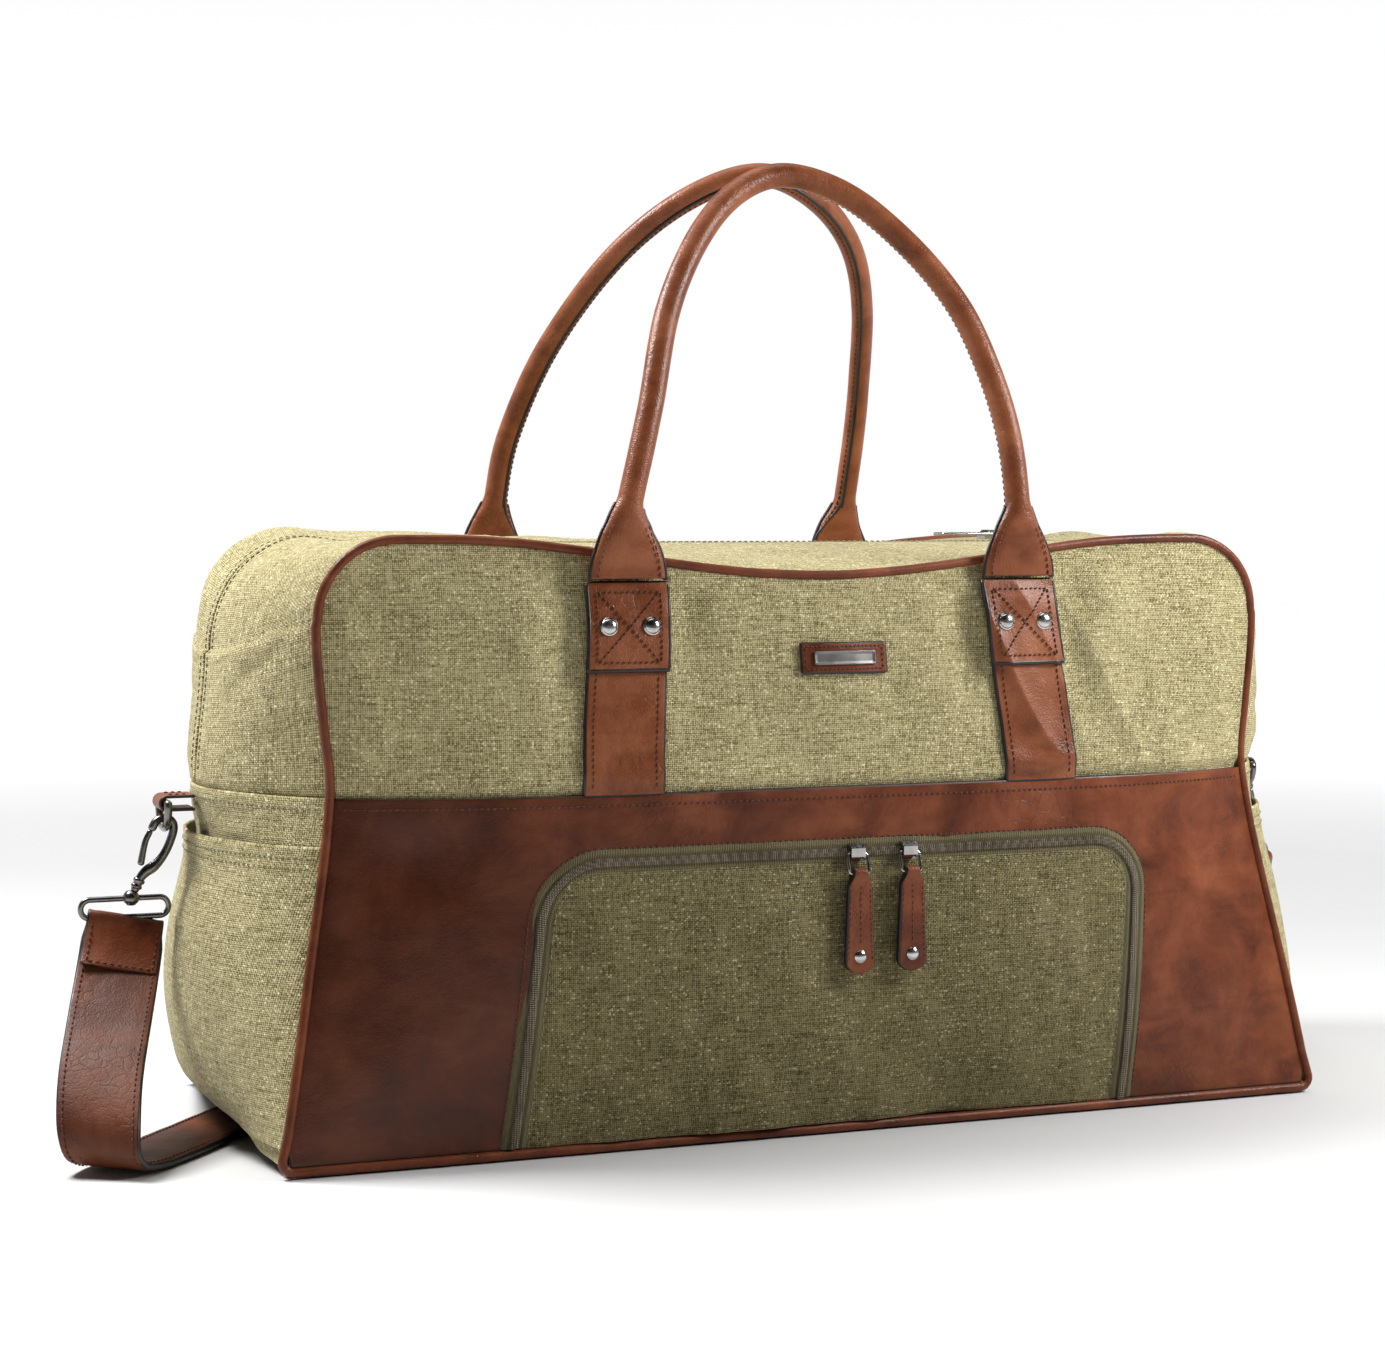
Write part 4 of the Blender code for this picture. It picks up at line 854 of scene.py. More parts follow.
def ribbon_section(width, thick, round_edge=0.9 * MM, crown=0.25 * MM, across=15):
    """Flat leather strap section: slightly crowned faces, rounded painted edges."""
    u = np.linspace(-1, 1, across)
    a = u * (width / 2 - round_edge)
    b = thick / 2 + crown * (1 - u ** 2) - 0.25 * MM * np.exp(-((np.abs(u) - 0.84) / 0.045) ** 2)
    bend = np.linspace(0, math.pi, 6)[1:-1]
    right = np.stack([a[-1] + round_edge * np.sin(bend), thick / 2 * np.cos(bend)], 1)
    top = np.stack([a, b], 1)
    points = np.concatenate([top, right, -top, -right])
    marks = np.zeros(len(points), int)
    marks[across - 1:across + 4] = 1
    marks[2 * across + 3:] = 1
    return points, marks


def build_strap():
    C, width, out = strap_line()
    stations = even(np.concatenate([C, width, out], 1), 420)
    C, width, out = stations[:, :3], unit(stations[:, 3:6]), unit(stations[:, 6:])
    section, marks = ribbon_section(STRAP_WIDTH, STRAP_THICK)
    length = float(np.linalg.norm(np.diff(C, axis=0), axis=1).sum())
    along = np.linspace(0, length, len(C))
    ends = np.minimum(along, length - along)
    squeeze = 1 - 0.075 * smoothstep(1 - ends / 0.012)
    profile = np.broadcast_to(section, (len(C), *section.shape)).copy()
    profile[..., 0] *= squeeze[:, None]
    ripple = 0.35 * MM * folds(along[:, None] + 0 * profile[..., 0], profile[..., 0], 0.02, 5)
    profile[..., 1] += ripple
    strap = sweep("shoulder_strap_leather", C, width, out, profile, ("strap_leather", "edge_paint"), "base",
                  marks=marks, stands_for=("shoulder_strap",))
    # two rows of stitches on each face, and across where the end ply is sewn down
    for sign in (1, -1):
        for hand in (1, -1):
            row = C + width * hand * (STRAP_WIDTH / 2 * 0.84) * squeeze[:, None]
            row = row + out * sign * (STRAP_THICK / 2 + 0.05 * MM)
            sew(BROWN_BASE, row[4:-4], out[4:-4] * sign)
    for word, at in (("left", 0), ("right", -1)):
        tangent = (C[1] - C[0]) if at == 0 else (C[-2] - C[-1])
        tangent = tangent / np.linalg.norm(tangent)
        w, o = width[at], out[at]
        o = unit(np.cross(w, tangent)) if at == 0 else unit(np.cross(tangent, w))
        # end ply: up the front face, over the ring's bar and down the back face
        rise, reach = 3.6 * MM, 26.0 * MM
        line = []
        for side, order in ((1, np.linspace(reach, 0, 30)), (-1, np.linspace(0, reach, 30))):
            if side == -1:
                for a in np.linspace(0, math.pi, 14)[1:-1]:
                    line.append(C[at] - tangent * rise * math.sin(a) + o * math.cos(a) * 2.75 * MM)
            for s in order:
                reach_at = s if at == 0 else length - s
                spot = np.array([np.interp(reach_at, along, C[:, k]) for k in range(3)])
                normal = unit(np.array([np.interp(reach_at, along, out[:, k]) for k in range(3)]))
                if np.dot(normal, o) < 0:
                    normal = -normal
                line.append(spot + normal * side * 2.75 * MM)
        line = np.array(line)
        T = directions(line)
        section_end, marks_end = ribbon_section(STRAP_WIDTH - 2.6 * MM, 1.7 * MM, 0.7 * MM, 0.15 * MM)
        B = unit(np.cross(T, np.broadcast_to(w, T.shape)))
        loop = sweep(f"strap_end_{word}", line, np.broadcast_to(w, T.shape), B, section_end,
                     ("leather", "edge_paint"), "base", marks=marks_end, domed=0.4 * MM)
        for side in (1, -1):
            rows = range(2, 26) if side > 0 else range(len(line) - 26, len(line) - 2)
            face_line = [line[k] + o * side * MM for k in rows]
            for hand in (1, -1):
                sew(BROWN_BASE, np.array(face_line) + w * hand * 15.2 * MM, o * side)
            low = face_line[0] if side > 0 else face_line[-1]
            sew(BROWN_BASE, [low - w * 15 * MM, low + w * 15 * MM], o * side)
    loop = frame["nodes"]["strap_slide_loop"]
    return length


STRAP_LENGTH = build_strap()
print("strap length", round(STRAP_LENGTH, 4))

# ---------------------------------------------------------------- lower body

def on_band(x, z, extra=0.0, side=-1):
    """Points on the leather band, which buckles gently and dents near its top corners."""
    swell = 1.3 * MM * folds(x, z, 0.075, 3) + 0.8 * MM * folds(x, z * 0.7, 0.03, 9)
    dent = 2.2 * MM * np.exp(-(((np.abs(x) - 0.205) / 0.022) ** 2 + ((z - 0.135) / 0.018) ** 2))
    calm = smoothstep((FOLD_Z - z) / 0.02) * smoothstep((z - 0.004) / 0.03)
    calm = calm * smoothstep((seam_half(z) - np.abs(x)) / 0.03)
    rise = lift(x, side * 0.113) * smoothstep(1.0 - z / 0.04)
    return np.stack([x + 0 * z, side * (face(x, z) + (swell - dent) * calm + extra), z + rise + 0 * x], -1)


def band_half(z):
    return seam_half(z) - TUCK - 2.5 * MM * smoothstep((0.013 - z) / 0.007)


def pocket_path(inset, foot=FLAP_FOOT, sides=60, corners=24, tops=150):
    """Inverted U round the pocket, left foot to right foot, as (x, z)."""
    half, top, radius = POCKET_HALF - inset, POCKET_TOP - inset, POCKET_CORNER - inset
    up = np.linspace(foot, top - radius, sides, endpoint=False)
    angle = np.linspace(0, math.pi / 2, corners, endpoint=False)
    x = np.concatenate([np.full(sides, -half), -half + radius - radius * np.cos(angle)])
    z = np.concatenate([up, top - radius + radius * np.sin(angle)])
    over = np.linspace(-half + radius, half - radius, tops)
    x, z = np.concatenate([x, over, -x[::-1]]), np.concatenate([z, np.full(tops, top), z[::-1]])
    return np.stack([pocket_lean(x, z), z], 1)


def build_bands():
    foot, top = BAND_FOOT, BAND_TOP
    inner = pocket_path(2.4 * MM, foot)
    sides, corners, tops = 60, 24, 150
    level = 0.118
    up = np.linspace(foot, level, sides, endpoint=False)
    left_z = np.concatenate([up, np.linspace(level, top, corners // 2, endpoint=False)])
    left_x = -band_half(left_z)
    corner_x = np.linspace(-float(band_half(top)), -0.150, corners - corners // 2, endpoint=False)
    over = np.linspace(-0.150, 0.150, tops)
    x = np.concatenate([left_x, corner_x, over, -corner_x[::-1], -left_x[::-1]])
    z = np.concatenate([left_z, np.full(len(corner_x) * 2 + tops, top), left_z[::-1]])
    outer = np.stack([x, z], 1)
    t = np.linspace(0, 1, 46)[:, None, None]
    grid = inner[None] * (1 - t) + outer[None] * t
    shell("front_band_leather", on_band(grid[..., 0], grid[..., 1]), BAND_THICK,
          ("band_leather", "edge_brown", "lining"), "base", outward=(0, -1, 0), stands_for=("front_band",))
    u = np.linspace(-1, 1, 260)[None]
    v = np.linspace(foot, top, 90)[:, None]
    shell("back_band_leather", on_band(u * band_half(v), v + 0 * u, 0.0, 1), BAND_THICK,
          LEATHER_SHEET, "base", outward=(0, 1, 0), stands_for=("back_band",))
    for side in (-1, 1):
        line = np.linspace(-0.2325, 0.2325, 300)
        z = np.full_like(line, top - 4.2 * MM)
        sew(BROWN_BASE, on_band(line, z, 0.1 * MM, side), (0, side, 0), pitch=2.9 * MM)
    rim = pocket_path(-0.6 * MM, 0.012)
    sew(BROWN_BASE, on_band(rim[:, 0], rim[:, 1], 0.1 * MM), (0, -1, 0), pitch=2.9 * MM)


def build_base():
    x = np.linspace(-0.2575, 0.2575, 200)[None] + np.zeros((80, 1))
    y = np.linspace(-0.108, 0.108, 80)[:, None] + np.zeros((1, 200))
    P = np.stack([x, y, lift(x, y)], 2)
    shell("base_leather", P, 2.3 * MM, LEATHER_SHEET, "base", outward=(0, 0, -1),
          stands_for=("base_panel",))


def on_end(side, z, y, extra=0.0, soft=1.0):
    """Points on a canvas end, drum-tight at its seams and slack over its middle."""
    room = edge(z) - TUCK
    share = np.clip(np.abs(y) / room, 0, 1)
    swell = np.maximum(np.cos(math.pi / 2 * share), 0) ** 0.8
    x = seam_half(z) + (end_half(z) - seam_half(z)) * swell
    slack = 1.5 * MM * folds(y, z, 0.06, 21) + 0.9 * MM * creases(y + 0.3 * z, z, 0.045, 4)
    calm = smoothstep((1 - share) / 0.25) * smoothstep((z - 0.003) / 0.02) * smoothstep((0.168 - z) / 0.02)
    rise = lift(x, y) * smoothstep(1.0 - z / 0.03)
    return np.stack([side * (x + extra + soft * slack * calm), y + 0 * z, z + rise + 0 * y], -1)


def pocket_gap(v, y):
    """How far the end pocket stands off the end, flush where it is sewn into the side seams."""
    share = np.clip(np.abs(y) / (edge(v) - TUCK), 0, 1)
    slump = 1 - 0.55 * smoothstep((v - 0.10) / 0.035)
    bulge = slump * through(END_POCKET_BULGE, v) * (1 - share ** 3)
    return 0.9 * MM + (2 * GAP + 1.4 * MM) * (1 - share ** 8) + bulge


def build_ends():
    for side, word in ((-1, "left"), (1, "right")):
        z = np.linspace(BAND_FOOT, BAND_TOP, 90)[:, None] + np.zeros((1, 110))
        u = np.sin(np.linspace(-1, 1, 110) * math.pi / 2)[None]
        y = u * (edge(z) - TUCK)
        shell(f"{word}_end_canvas", on_end(side, z, y), CANVAS_THICK, CANVAS_SHEET, "base",
              outward=(side, 0, 0), stands_for=(f"{word}_end_panel",),
              coords=np.stack([y, z, 0 * z], 2))
        z = np.linspace(END_POCKET_FOOT, END_POCKET_TOP, 80)[:, None] + np.zeros((1, 100))
        y = np.linspace(-1, 1, 100)[None] * (edge(z) - TUCK)
        extra = pocket_gap(z, y)
        P = on_end(side, z, y, extra, 0.35)
        shell(f"{word}_end_pocket_canvas", P, 1.6 * MM, CANVAS_SHEET, "base",
              outward=(side, 0, 0), stands_for=(f"{word}_end_pocket",),
              coords=np.stack([y + 0.4, z, 0 * z], 2))
        # turned hems, each with its row of stitches
        span = np.linspace(-1, 1, 160)
        for level in (0.1385, 0.1340):
            y = span * (float(edge(level)) - TUCK) * 0.97
            z = np.full_like(y, level)
            row = on_end(side, z, y, pocket_gap(z, y) + 0.1 * MM, 0.35)
            sew(OLIVE_BASE, row, (side, 0, 0), pitch=3.4 * MM)
        level = FOLD_Z - 4.6 * MM
        y = span * (float(edge(level)) - TUCK) * 0.97
        sew(OLIVE_BASE, on_end(side, np.full_like(y, level), y, 0.1 * MM), (side, 0, 0),
            pitch=3.4 * MM)


def build_linings():
    half_u = np.linspace(-1, 1, 60, endpoint=False)

    def loop(scale, z):
        half_y = min(float(edge(z)) - 7.5 * MM, 0.0932)
        ring = []
        for hand in (1, -1):
            u = hand * half_u
            swell = np.maximum(np.cos(math.pi / 2 * u), 0.0) ** 0.8
            x = float(seam_half(z)) - 5 * MM + float(end_half(z) - seam_half(z)) * swell
            ring.append(np.stack([hand * x * scale, u * half_y * scale, np.full(60, z)], 1))
        return np.concatenate(ring)
    foot = 0.0112
    rows = [loop(s, foot) for s in np.linspace(0.02, 0.985, 26)]
    rows += [loop(1.0, z) for z in np.linspace(foot + 1.5 * MM, FOLD_Z - 1.2 * MM, 44)]
    P = np.stack(rows)
    shell("main_compartment_lining", P[:, ::-1], 1.0 * MM, "lining", "base", centre=(0, 0, 0.09),
          cyclic=True, stands_for=("main_lining",))
    bag_half, bag_foot, bag_top = 0.138, 0.012, 0.121
    u = np.linspace(-bag_half, bag_half, 150)[None] + np.zeros((70, 1))
    v = np.linspace(bag_foot, bag_top, 70)[:, None] + np.zeros((1, 150))
    near = np.minimum(np.minimum(bag_half - np.abs(u), v - bag_foot), bag_top - v)
    depth = smoothstep(near / 3.5 / MM)
    rim_y = -face(POCKET_X + u, v) + 4.7 * MM
    y = rim_y * (1 - depth) + (-0.0958 + 0.8 * MM * folds(u, v, 0.03, 41)) * depth
    shell("pocket_bag_lining", np.stack([POCKET_X + u, y, v], 2), 0.9 * MM, "lining", "base",
          outward=(0, -1, 0), stands_for=("pocket_lining",))


def build_lower_piping():
    for side, word in ((-1, "front"), (1, "back")):
        corner, half, foot = 0.005, float(seam_half(0.0)) - 0.5 * MM, PIPING_RADIUS + 0.3 * MM
        z = np.linspace(FOLD_Z, 0.02, 60)
        angle = np.linspace(0, math.pi / 2, 10)
        x = np.concatenate([-seam_half(z), -half + corner - corner * np.cos(angle)])
        z = np.concatenate([z, foot + corner - corner * np.sin(angle)])
        floor = np.linspace(-half + corner, half - corner, 180)[1:-1]
        x, z = np.concatenate([x, floor, -x[::-1]]), np.concatenate([z, np.full(178, foot), z[::-1]])
        C = np.stack([x, side * face(x, z), z + lift(x, side * 0.113) * smoothstep(1 - z / 0.04)], 1)
        C = even(C, 460)
        wobble = 0.35 * MM * folds(C[:, 0] + C[:, 2], C[:, 2], 0.035, 51 + side)
        C[:, 1] += side * wobble
        tube(f"{word}_piping_lower_leather", C, PIPING_RADIUS - 0.2 * MM, (0, 1, 0), "leather", "base",
             sides=14,
             stands_for=(f"{word}_piping_lower",))


# ---------------------------------------------------------------- mouth halves

def on_panel(x, z, extra=0.0, side=-1):
    """Points on the canvas upper panel: slack, puckered by the tabs, tucked behind the band."""
    tuck = 2.8 * MM * (1 - smoothstep((z - 0.1645) / 0.007))
    top = crest(x, z) if side > 0 else 0.0
    return np.stack([x + 0 * z, side * (face(x, z) - tuck + slack_of(x, z) + extra), z + top + 0 * x], -1)


def build_mouth(side, word):
    links = dict(mouth=f"{word}_mouth")
    half = float(seam_half(TOP_SHOULDER_Z)) - TUCK
    inner_half = half - (PANEL_CORNER - TUCK)
    bend = np.sin(np.linspace(0, math.pi / 2, 22)[1:]) * (PANEL_CORNER - TUCK)
    u = np.concatenate([-(inner_half + bend)[::-1], np.linspace(-inner_half, inner_half, 210),
                        inner_half + bend]) / half
    foot = PANEL_FOOT
    v = np.linspace(0, 1, 96)[:, None]
    top = panel_top(u * half, TUCK)[None]
    z = foot + v * (top - foot)
    x = u[None] * (seam_half(z) - TUCK)
    shell(f"{word}_panel_canvas", on_panel(x, z, 0.0, side), CANVAS_THICK, CANVAS_SHEET,
          outward=(0, side, 0), stands_for=(f"{word}_upper_panel",),
          coords=np.stack([x + side, z, 0 * x], 2), **links)

    outer, inner = panel_arch(PANEL_FOOT), zip_arch(PANEL_FOOT)
    t = np.linspace(0, 1, 60)[:, None]
    swell = np.sin(math.pi / 2 * t) ** 0.85
    ax, az, bx, bz = outer[:, 0][None], outer[:, 1][None], inner[:, 0][None], inner[:, 1][None]
    tuck = 2.6 * MM * (1 - smoothstep((az - 0.1645) / 0.007))
    x = ax + (bx - ax) * swell
    z = az + (bz - az) * swell
    x = x - np.sign(x) * tuck * smoothstep((np.abs(x) - 0.22) / 0.01)
    y = (face(ax, az) - TUCK) * (1 - t) + 2.6 * MM * t
    z = z + crest(x, z) * (t if side < 0 else 1.0)
    P = np.stack([x, side * y, z], 2)
    along = np.concatenate([[0], np.cumsum(np.linalg.norm(np.diff(inner, axis=0), axis=1))])[None] + 0 * t
    calm = smoothstep(t / 0.18) * smoothstep((0.97 - t) / 0.15) * smoothstep((az - 0.165) / 0.02)
    slack = 1.5 * MM * folds(along, y * 1.4, 0.06, 71 + side) - 1.3 * MM * creases(along, y * 0.5, 0.05, 77)
    slack = slack + 0.9 * MM * folds(along * 2.0, y, 0.03, 83)
    slack = slack + 4.5 * MM * np.sin(math.pi * t) * smoothstep((x - 0.19) / 0.03)
    if side > 0:
        swag = np.sin(math.pi * t ** 0.75) * smoothstep((0.93 - t) / 0.3)
        slack = slack + 5.5 * MM * swag * smoothstep((-x - 0.02) / 0.06)
    shell(f"{word}_gusset_canvas", P, CANVAS_THICK, CANVAS_SHEET, centre=(0, side * 0.02, 0.14),
          bump=slack * calm, stands_for=(f"{word}_top_gusset",),
          coords=np.stack([along + 2 * side, y, 0 * y], 2), **links)
    hem = np.stack([inner[:, 0], np.full(len(inner), side * 7.2 * MM), inner[:, 1]], 1)
    keep = inner[:, 1] > 0.172
    hem[:, 2] += crest(hem[:, 0], hem[:, 2])
    N = unit(np.stack([-np.gradient(inner[:, 1]), 0 * inner[:, 0], np.gradient(inner[:, 0])], 1))
    sew(("base", f"{word}_mouth", "olive_thread"), hem[keep] + N[keep] * 0.1 * MM, N[keep], pitch=3.2 * MM)

    C = np.stack([outer[:, 0], side * face(outer[:, 0], outer[:, 1]), outer[:, 1]], 1)
    C = C[outer[:, 1] >= FOLD_Z - 0.1 * MM]
    if side > 0:
        C[:, 2] += crest(C[:, 0], C[:, 2])
    C = even(C, 430)
    C[:, 2] += 0.5 * MM * folds(C[:, 0], C[:, 2], 0.05, 91 + side) * smoothstep((C[:, 2] - 0.25) / 0.02)
    tube(f"{word}_piping_upper_leather", C, PIPING_RADIUS - 0.2 * MM, (0, 1, 0), "leather", sides=14,
         stands_for=(f"{word}_piping_upper",), **links)

    # half of the zip, sunk under the canvas lips
    line = inner[inner[:, 1] > FOLD_Z + 1.0 * MM]
    line = even(line, 520)
    N = unit(np.stack([-np.gradient(line[:, 1]), np.gradient(line[:, 0])], 1))
    deep = line - N * 2.6 * MM
    deep[:, 1] += crest(deep[:, 0], deep[:, 1])
    across = np.linspace(0.5 * MM, 5.2 * MM, 6)[:, None] * side
    x, z = deep[:, 0][None] + 0 * across, deep[:, 1][None] + 0 * across
    P = np.stack([x, across + 0 * x, z], 2)
    shell(f"main_zip_tape_{word}", P, 0.9 * MM, "zip_tape", centre=(0, 0, 0.14),
          stands_for=(f"main_zip_{word}",), **links)
    teeth = even(deep, 620)
    T2 = unit(np.gradient(teeth, axis=0))
    tangent = np.stack([T2[:, 0], 0 * T2[:, 0], T2[:, 1]], 1)
    normal = np.stack([-T2[:, 1], 0 * T2[:, 0], T2[:, 0]], 1)
    centres = np.stack([teeth[:, 0], np.full(620, side * 1.25 * MM), teeth[:, 1]], 1) + normal * 0.35 * MM
    sideways = np.broadcast_to(np.array([0.0, 1.0, 0.0]), normal.shape)
    blocks(f"main_zip_coil_{word}", centres, sideways, tangent, normal,
           (2.6 * MM, 0.85 * MM, 0.9 * MM), "zip_coil", **links)


def strap_on_panel(side, hand, extra, z, u, width=STRIP_WIDTH):
    share = (z - FOLD_Z) / (TAB_TOP - FOLD_Z)
    centre = STRIP_X + (TAB_X - STRIP_X) * smoothstep(share)
    x = hand * centre + u * width / 2
    sunk = 2.0 * MM * (1 - smoothstep((z - 0.1655) / 0.010))
    bow = 0.35 * MM * (1 - u ** 2)
    return np.stack([x + 0 * z, side * (face(x, z) + slack_of(x, z) + extra - sunk + bow),
                     z + 0 * u], -1)


def build_fixings(side, word):
    links = dict(mouth=f"{word}_mouth")
    key = ("base", f"{word}_mouth", "brown_thread")
    ply = STRIP_THICK
    for hand, name in ((-1, "left"), (1, "right")):
        z = np.linspace(FOLD_Z + 0.4 * MM, TAB_TOP - (0.0 if word == "back" else 1.5 * MM), 90)[:, None]
        u = np.linspace(-1, 1, 34)[None]
        P = strap_on_panel(side, hand, GAP + ply + 0.3 * MM, z, u)
        shell(f"{word}_{name}_strip_leather", P, ply, FIXING_SHEET,
              outward=(0, side, 0), stands_for=(f"{word}_{name}_strip",), **links)
        for end in (-1, 1):
            z = np.linspace(FOLD_Z + 1.5 * MM, TAB_TOP - 2.0 * MM, 70)
            bead = strap_on_panel(side, hand, GAP + ply * 0.55, z, np.full_like(z, end * 1.0))
            tube(f"{word}_{name}_strip_edge_{'a' if end < 0 else 'b'}", bead, 1.15 * MM, (0, 1, 0.001),
                 "edge_paint", sides=8, **links)
        top = TAB_FOOT if word == "front" else TAB_TOP - 3 * MM
        for edge_u in (-0.82, 0.82):
            z = np.linspace(FOLD_Z + 3 * MM, top, 60)
            row = strap_on_panel(side, hand, GAP + ply + 0.4 * MM, z, np.full_like(z, edge_u))
            sew(key, row, (0, side, 0), pitch=2.9 * MM)
        if word == "back":
            u = np.linspace(-0.82, 0.82, 30)
            row = strap_on_panel(side, hand, GAP + ply + 0.4 * MM, np.full_like(u, TAB_FOOT + 2.5 * MM), u)
            sew(key, row, (0, side, 0), pitch=2.9 * MM)
            continue
        extra = 2 * GAP + ply + 2.2 * MM
        v = np.linspace(TAB_FOOT, TAB_TOP + 1.2 * MM, 60)[:, None]
        u = np.linspace(-1.05, 1.05, 44)[None]
        P = strap_on_panel(side, hand, extra, v, u)
        dimple = 0
        for shift in (RIVET_SPREAD, -RIVET_SPREAD):
            dx = P[..., 0] - hand * (TAB_X + 0.5 * MM + shift)
            dz = P[..., 2] - RIVET_Z
            dimple = dimple + 0.8 * MM * np.exp(-(dx ** 2 + dz ** 2) / (6.0 * MM) ** 2)
        P[..., 1] -= side * dimple
        shell(f"{word}_{name}_tab_leather", P, 2.3 * MM, FIXING_SHEET,
              outward=(0, side, 0), stands_for=(f"{word}_{name}_tab",), **links)
        frame = [(-1.05, z) for z in np.linspace(TAB_TOP, TAB_FOOT, 24)]
        frame += [(u, TAB_FOOT) for u in np.linspace(-1.0, 1.0, 24)]
        frame += [(1.05, z) for z in np.linspace(TAB_FOOT, TAB_TOP, 24)]
        frame = np.array(frame)
        bead = strap_on_panel(side, hand, extra - 1.0 * MM, frame[:, 1], frame[:, 0])
        tube(f"{word}_{name}_tab_edge", even(bead, 90), 1.2 * MM, (0, 1, 0.001), "edge_paint", sides=8,
             **links)
        lay = extra + 0.35 * MM
        low, high = TAB_FOOT + 3.6 * MM, TAB_TOP - 3.0 * MM

        def spot(u, z):
            return strap_on_panel(side, hand, lay, np.asarray(z, float), np.asarray(u, float))
        n = np.linspace(0, 1, 40)
        rows = [(np.full(40, -0.84), low + (high - low) * n), (np.full(40, 0.84), low + (high - low) * n),
                (-0.84 + 1.68 * n, np.full(40, low)), (-0.84 + 1.68 * n, np.full(40, high)),
                (-0.80 + 1.60 * n, low + (high - low) * n), (-0.80 + 1.60 * n, high + (low - high) * n)]
        for us, zs in rows:
            sew(key, spot(us, zs), (0, side, 0), pitch=2.7 * MM, length=1.9 * MM)
        for order, shift in (("outer", RIVET_SPREAD), ("inner", -RIVET_SPREAD)):
            x, z = hand * (TAB_X + 0.5 * MM + shift), RIVET_Z
            y = side * float(face(x, z) + slack_of(x, z) + 3 * GAP + ply + 1.9 * MM)
            slope = float(face(x, z + 0.005) - face(x, z - 0.005)) / 0.01
            profile = [(0.0001, -0.2), (4.3, -0.2), (4.5, 0.15), (4.2, 0.45), (3.9, 0.5), (3.75, 0.9),
                       (3.3, 1.5), (2.6, 2.0), (1.7, 2.32), (0.8, 2.46), (0.0001, 2.5)]
            revolve(f"{word}_{name}_rivet_{order}_cap", (x, y, z), (0, side, -slope),
                    np.array(profile) * MM, "nickel", stands_for=(f"{word}_{name}_rivet_{order}",), **links)


def build_badge():
    links = dict(mouth="front_mouth")

    def at(x, z, extra):
        return np.stack([x + 0 * z, -(face(x, z) + slack_of(x, z) + extra), z + 0 * x], -1)
    x = np.linspace(-0.0165, 0.0265, 50)[None]
    z = np.linspace(0.2188, 0.2322, 24)[:, None]
    shell("badge_leather", at(x, z, GAP + 1.9 * MM), 1.7 * MM, ("leather", "edge_paint", "lining"),
          outward=(0, -1, 0), stands_for=("badge_patch",), **links)
    n = np.linspace(0, 1, 30)
    left, right, low, high = -0.0148, 0.0248, 0.2202, 0.2308
    over, up = left + (right - left) * n, low + (high - low) * n
    for xs, zs in ((over, 0 * n + low), (over, 0 * n + high), (0 * n + left, up), (0 * n + right, up)):
        sew(("base", "front_mouth", "brown_thread"), at(xs, zs, GAP + 2.0 * MM), (0, -1, 0),
            pitch=2.2 * MM, length=1.5 * MM, radius=0.33 * MM)
    left, right, low, high = -0.0105, 0.0205, 0.2228, 0.2283
    x = np.linspace(left, right, 40)[None]
    z = np.linspace(low, high, 14)[:, None]
    to_edge = np.minimum(np.minimum(x - left, right - x), np.minimum(z - low, high - z))
    raised = 0.35 * MM * (1 - smoothstep(to_edge / 0.9 / MM))
    shell("badge_metal", at(x, z, GAP + 2.6 * MM + raised), 0.8 * MM,
          "brushed_plate", outward=(0, -1, 0), stands_for=("badge_plate",), **links)


# ---------------------------------------------------------------- handles

FRONT_GRIP = [(-0.0984, 0.300), (-0.0861, 0.341), (-0.0714, 0.388), (-0.0494, 0.4250),
              (-0.0247, 0.4484), (0.0020, 0.4570), (0.0331, 0.4474), (0.0610, 0.4230),
              (0.0810, 0.3948), (0.0920, 0.3640), (0.0985, 0.3330), (0.1008, 0.300)]
BACK_GRIP = [(-0.0990, 0.303), (-0.0955, 0.335), (-0.0820, 0.381), (-0.0580, 0.4240),
             (-0.0280, 0.4510), (0.0060, 0.4620), (0.0400, 0.4520), (0.0680, 0.4310),
             (0.0860, 0.4020), (0.0970, 0.3650), (0.1020, 0.3330), (0.1025, 0.303)]


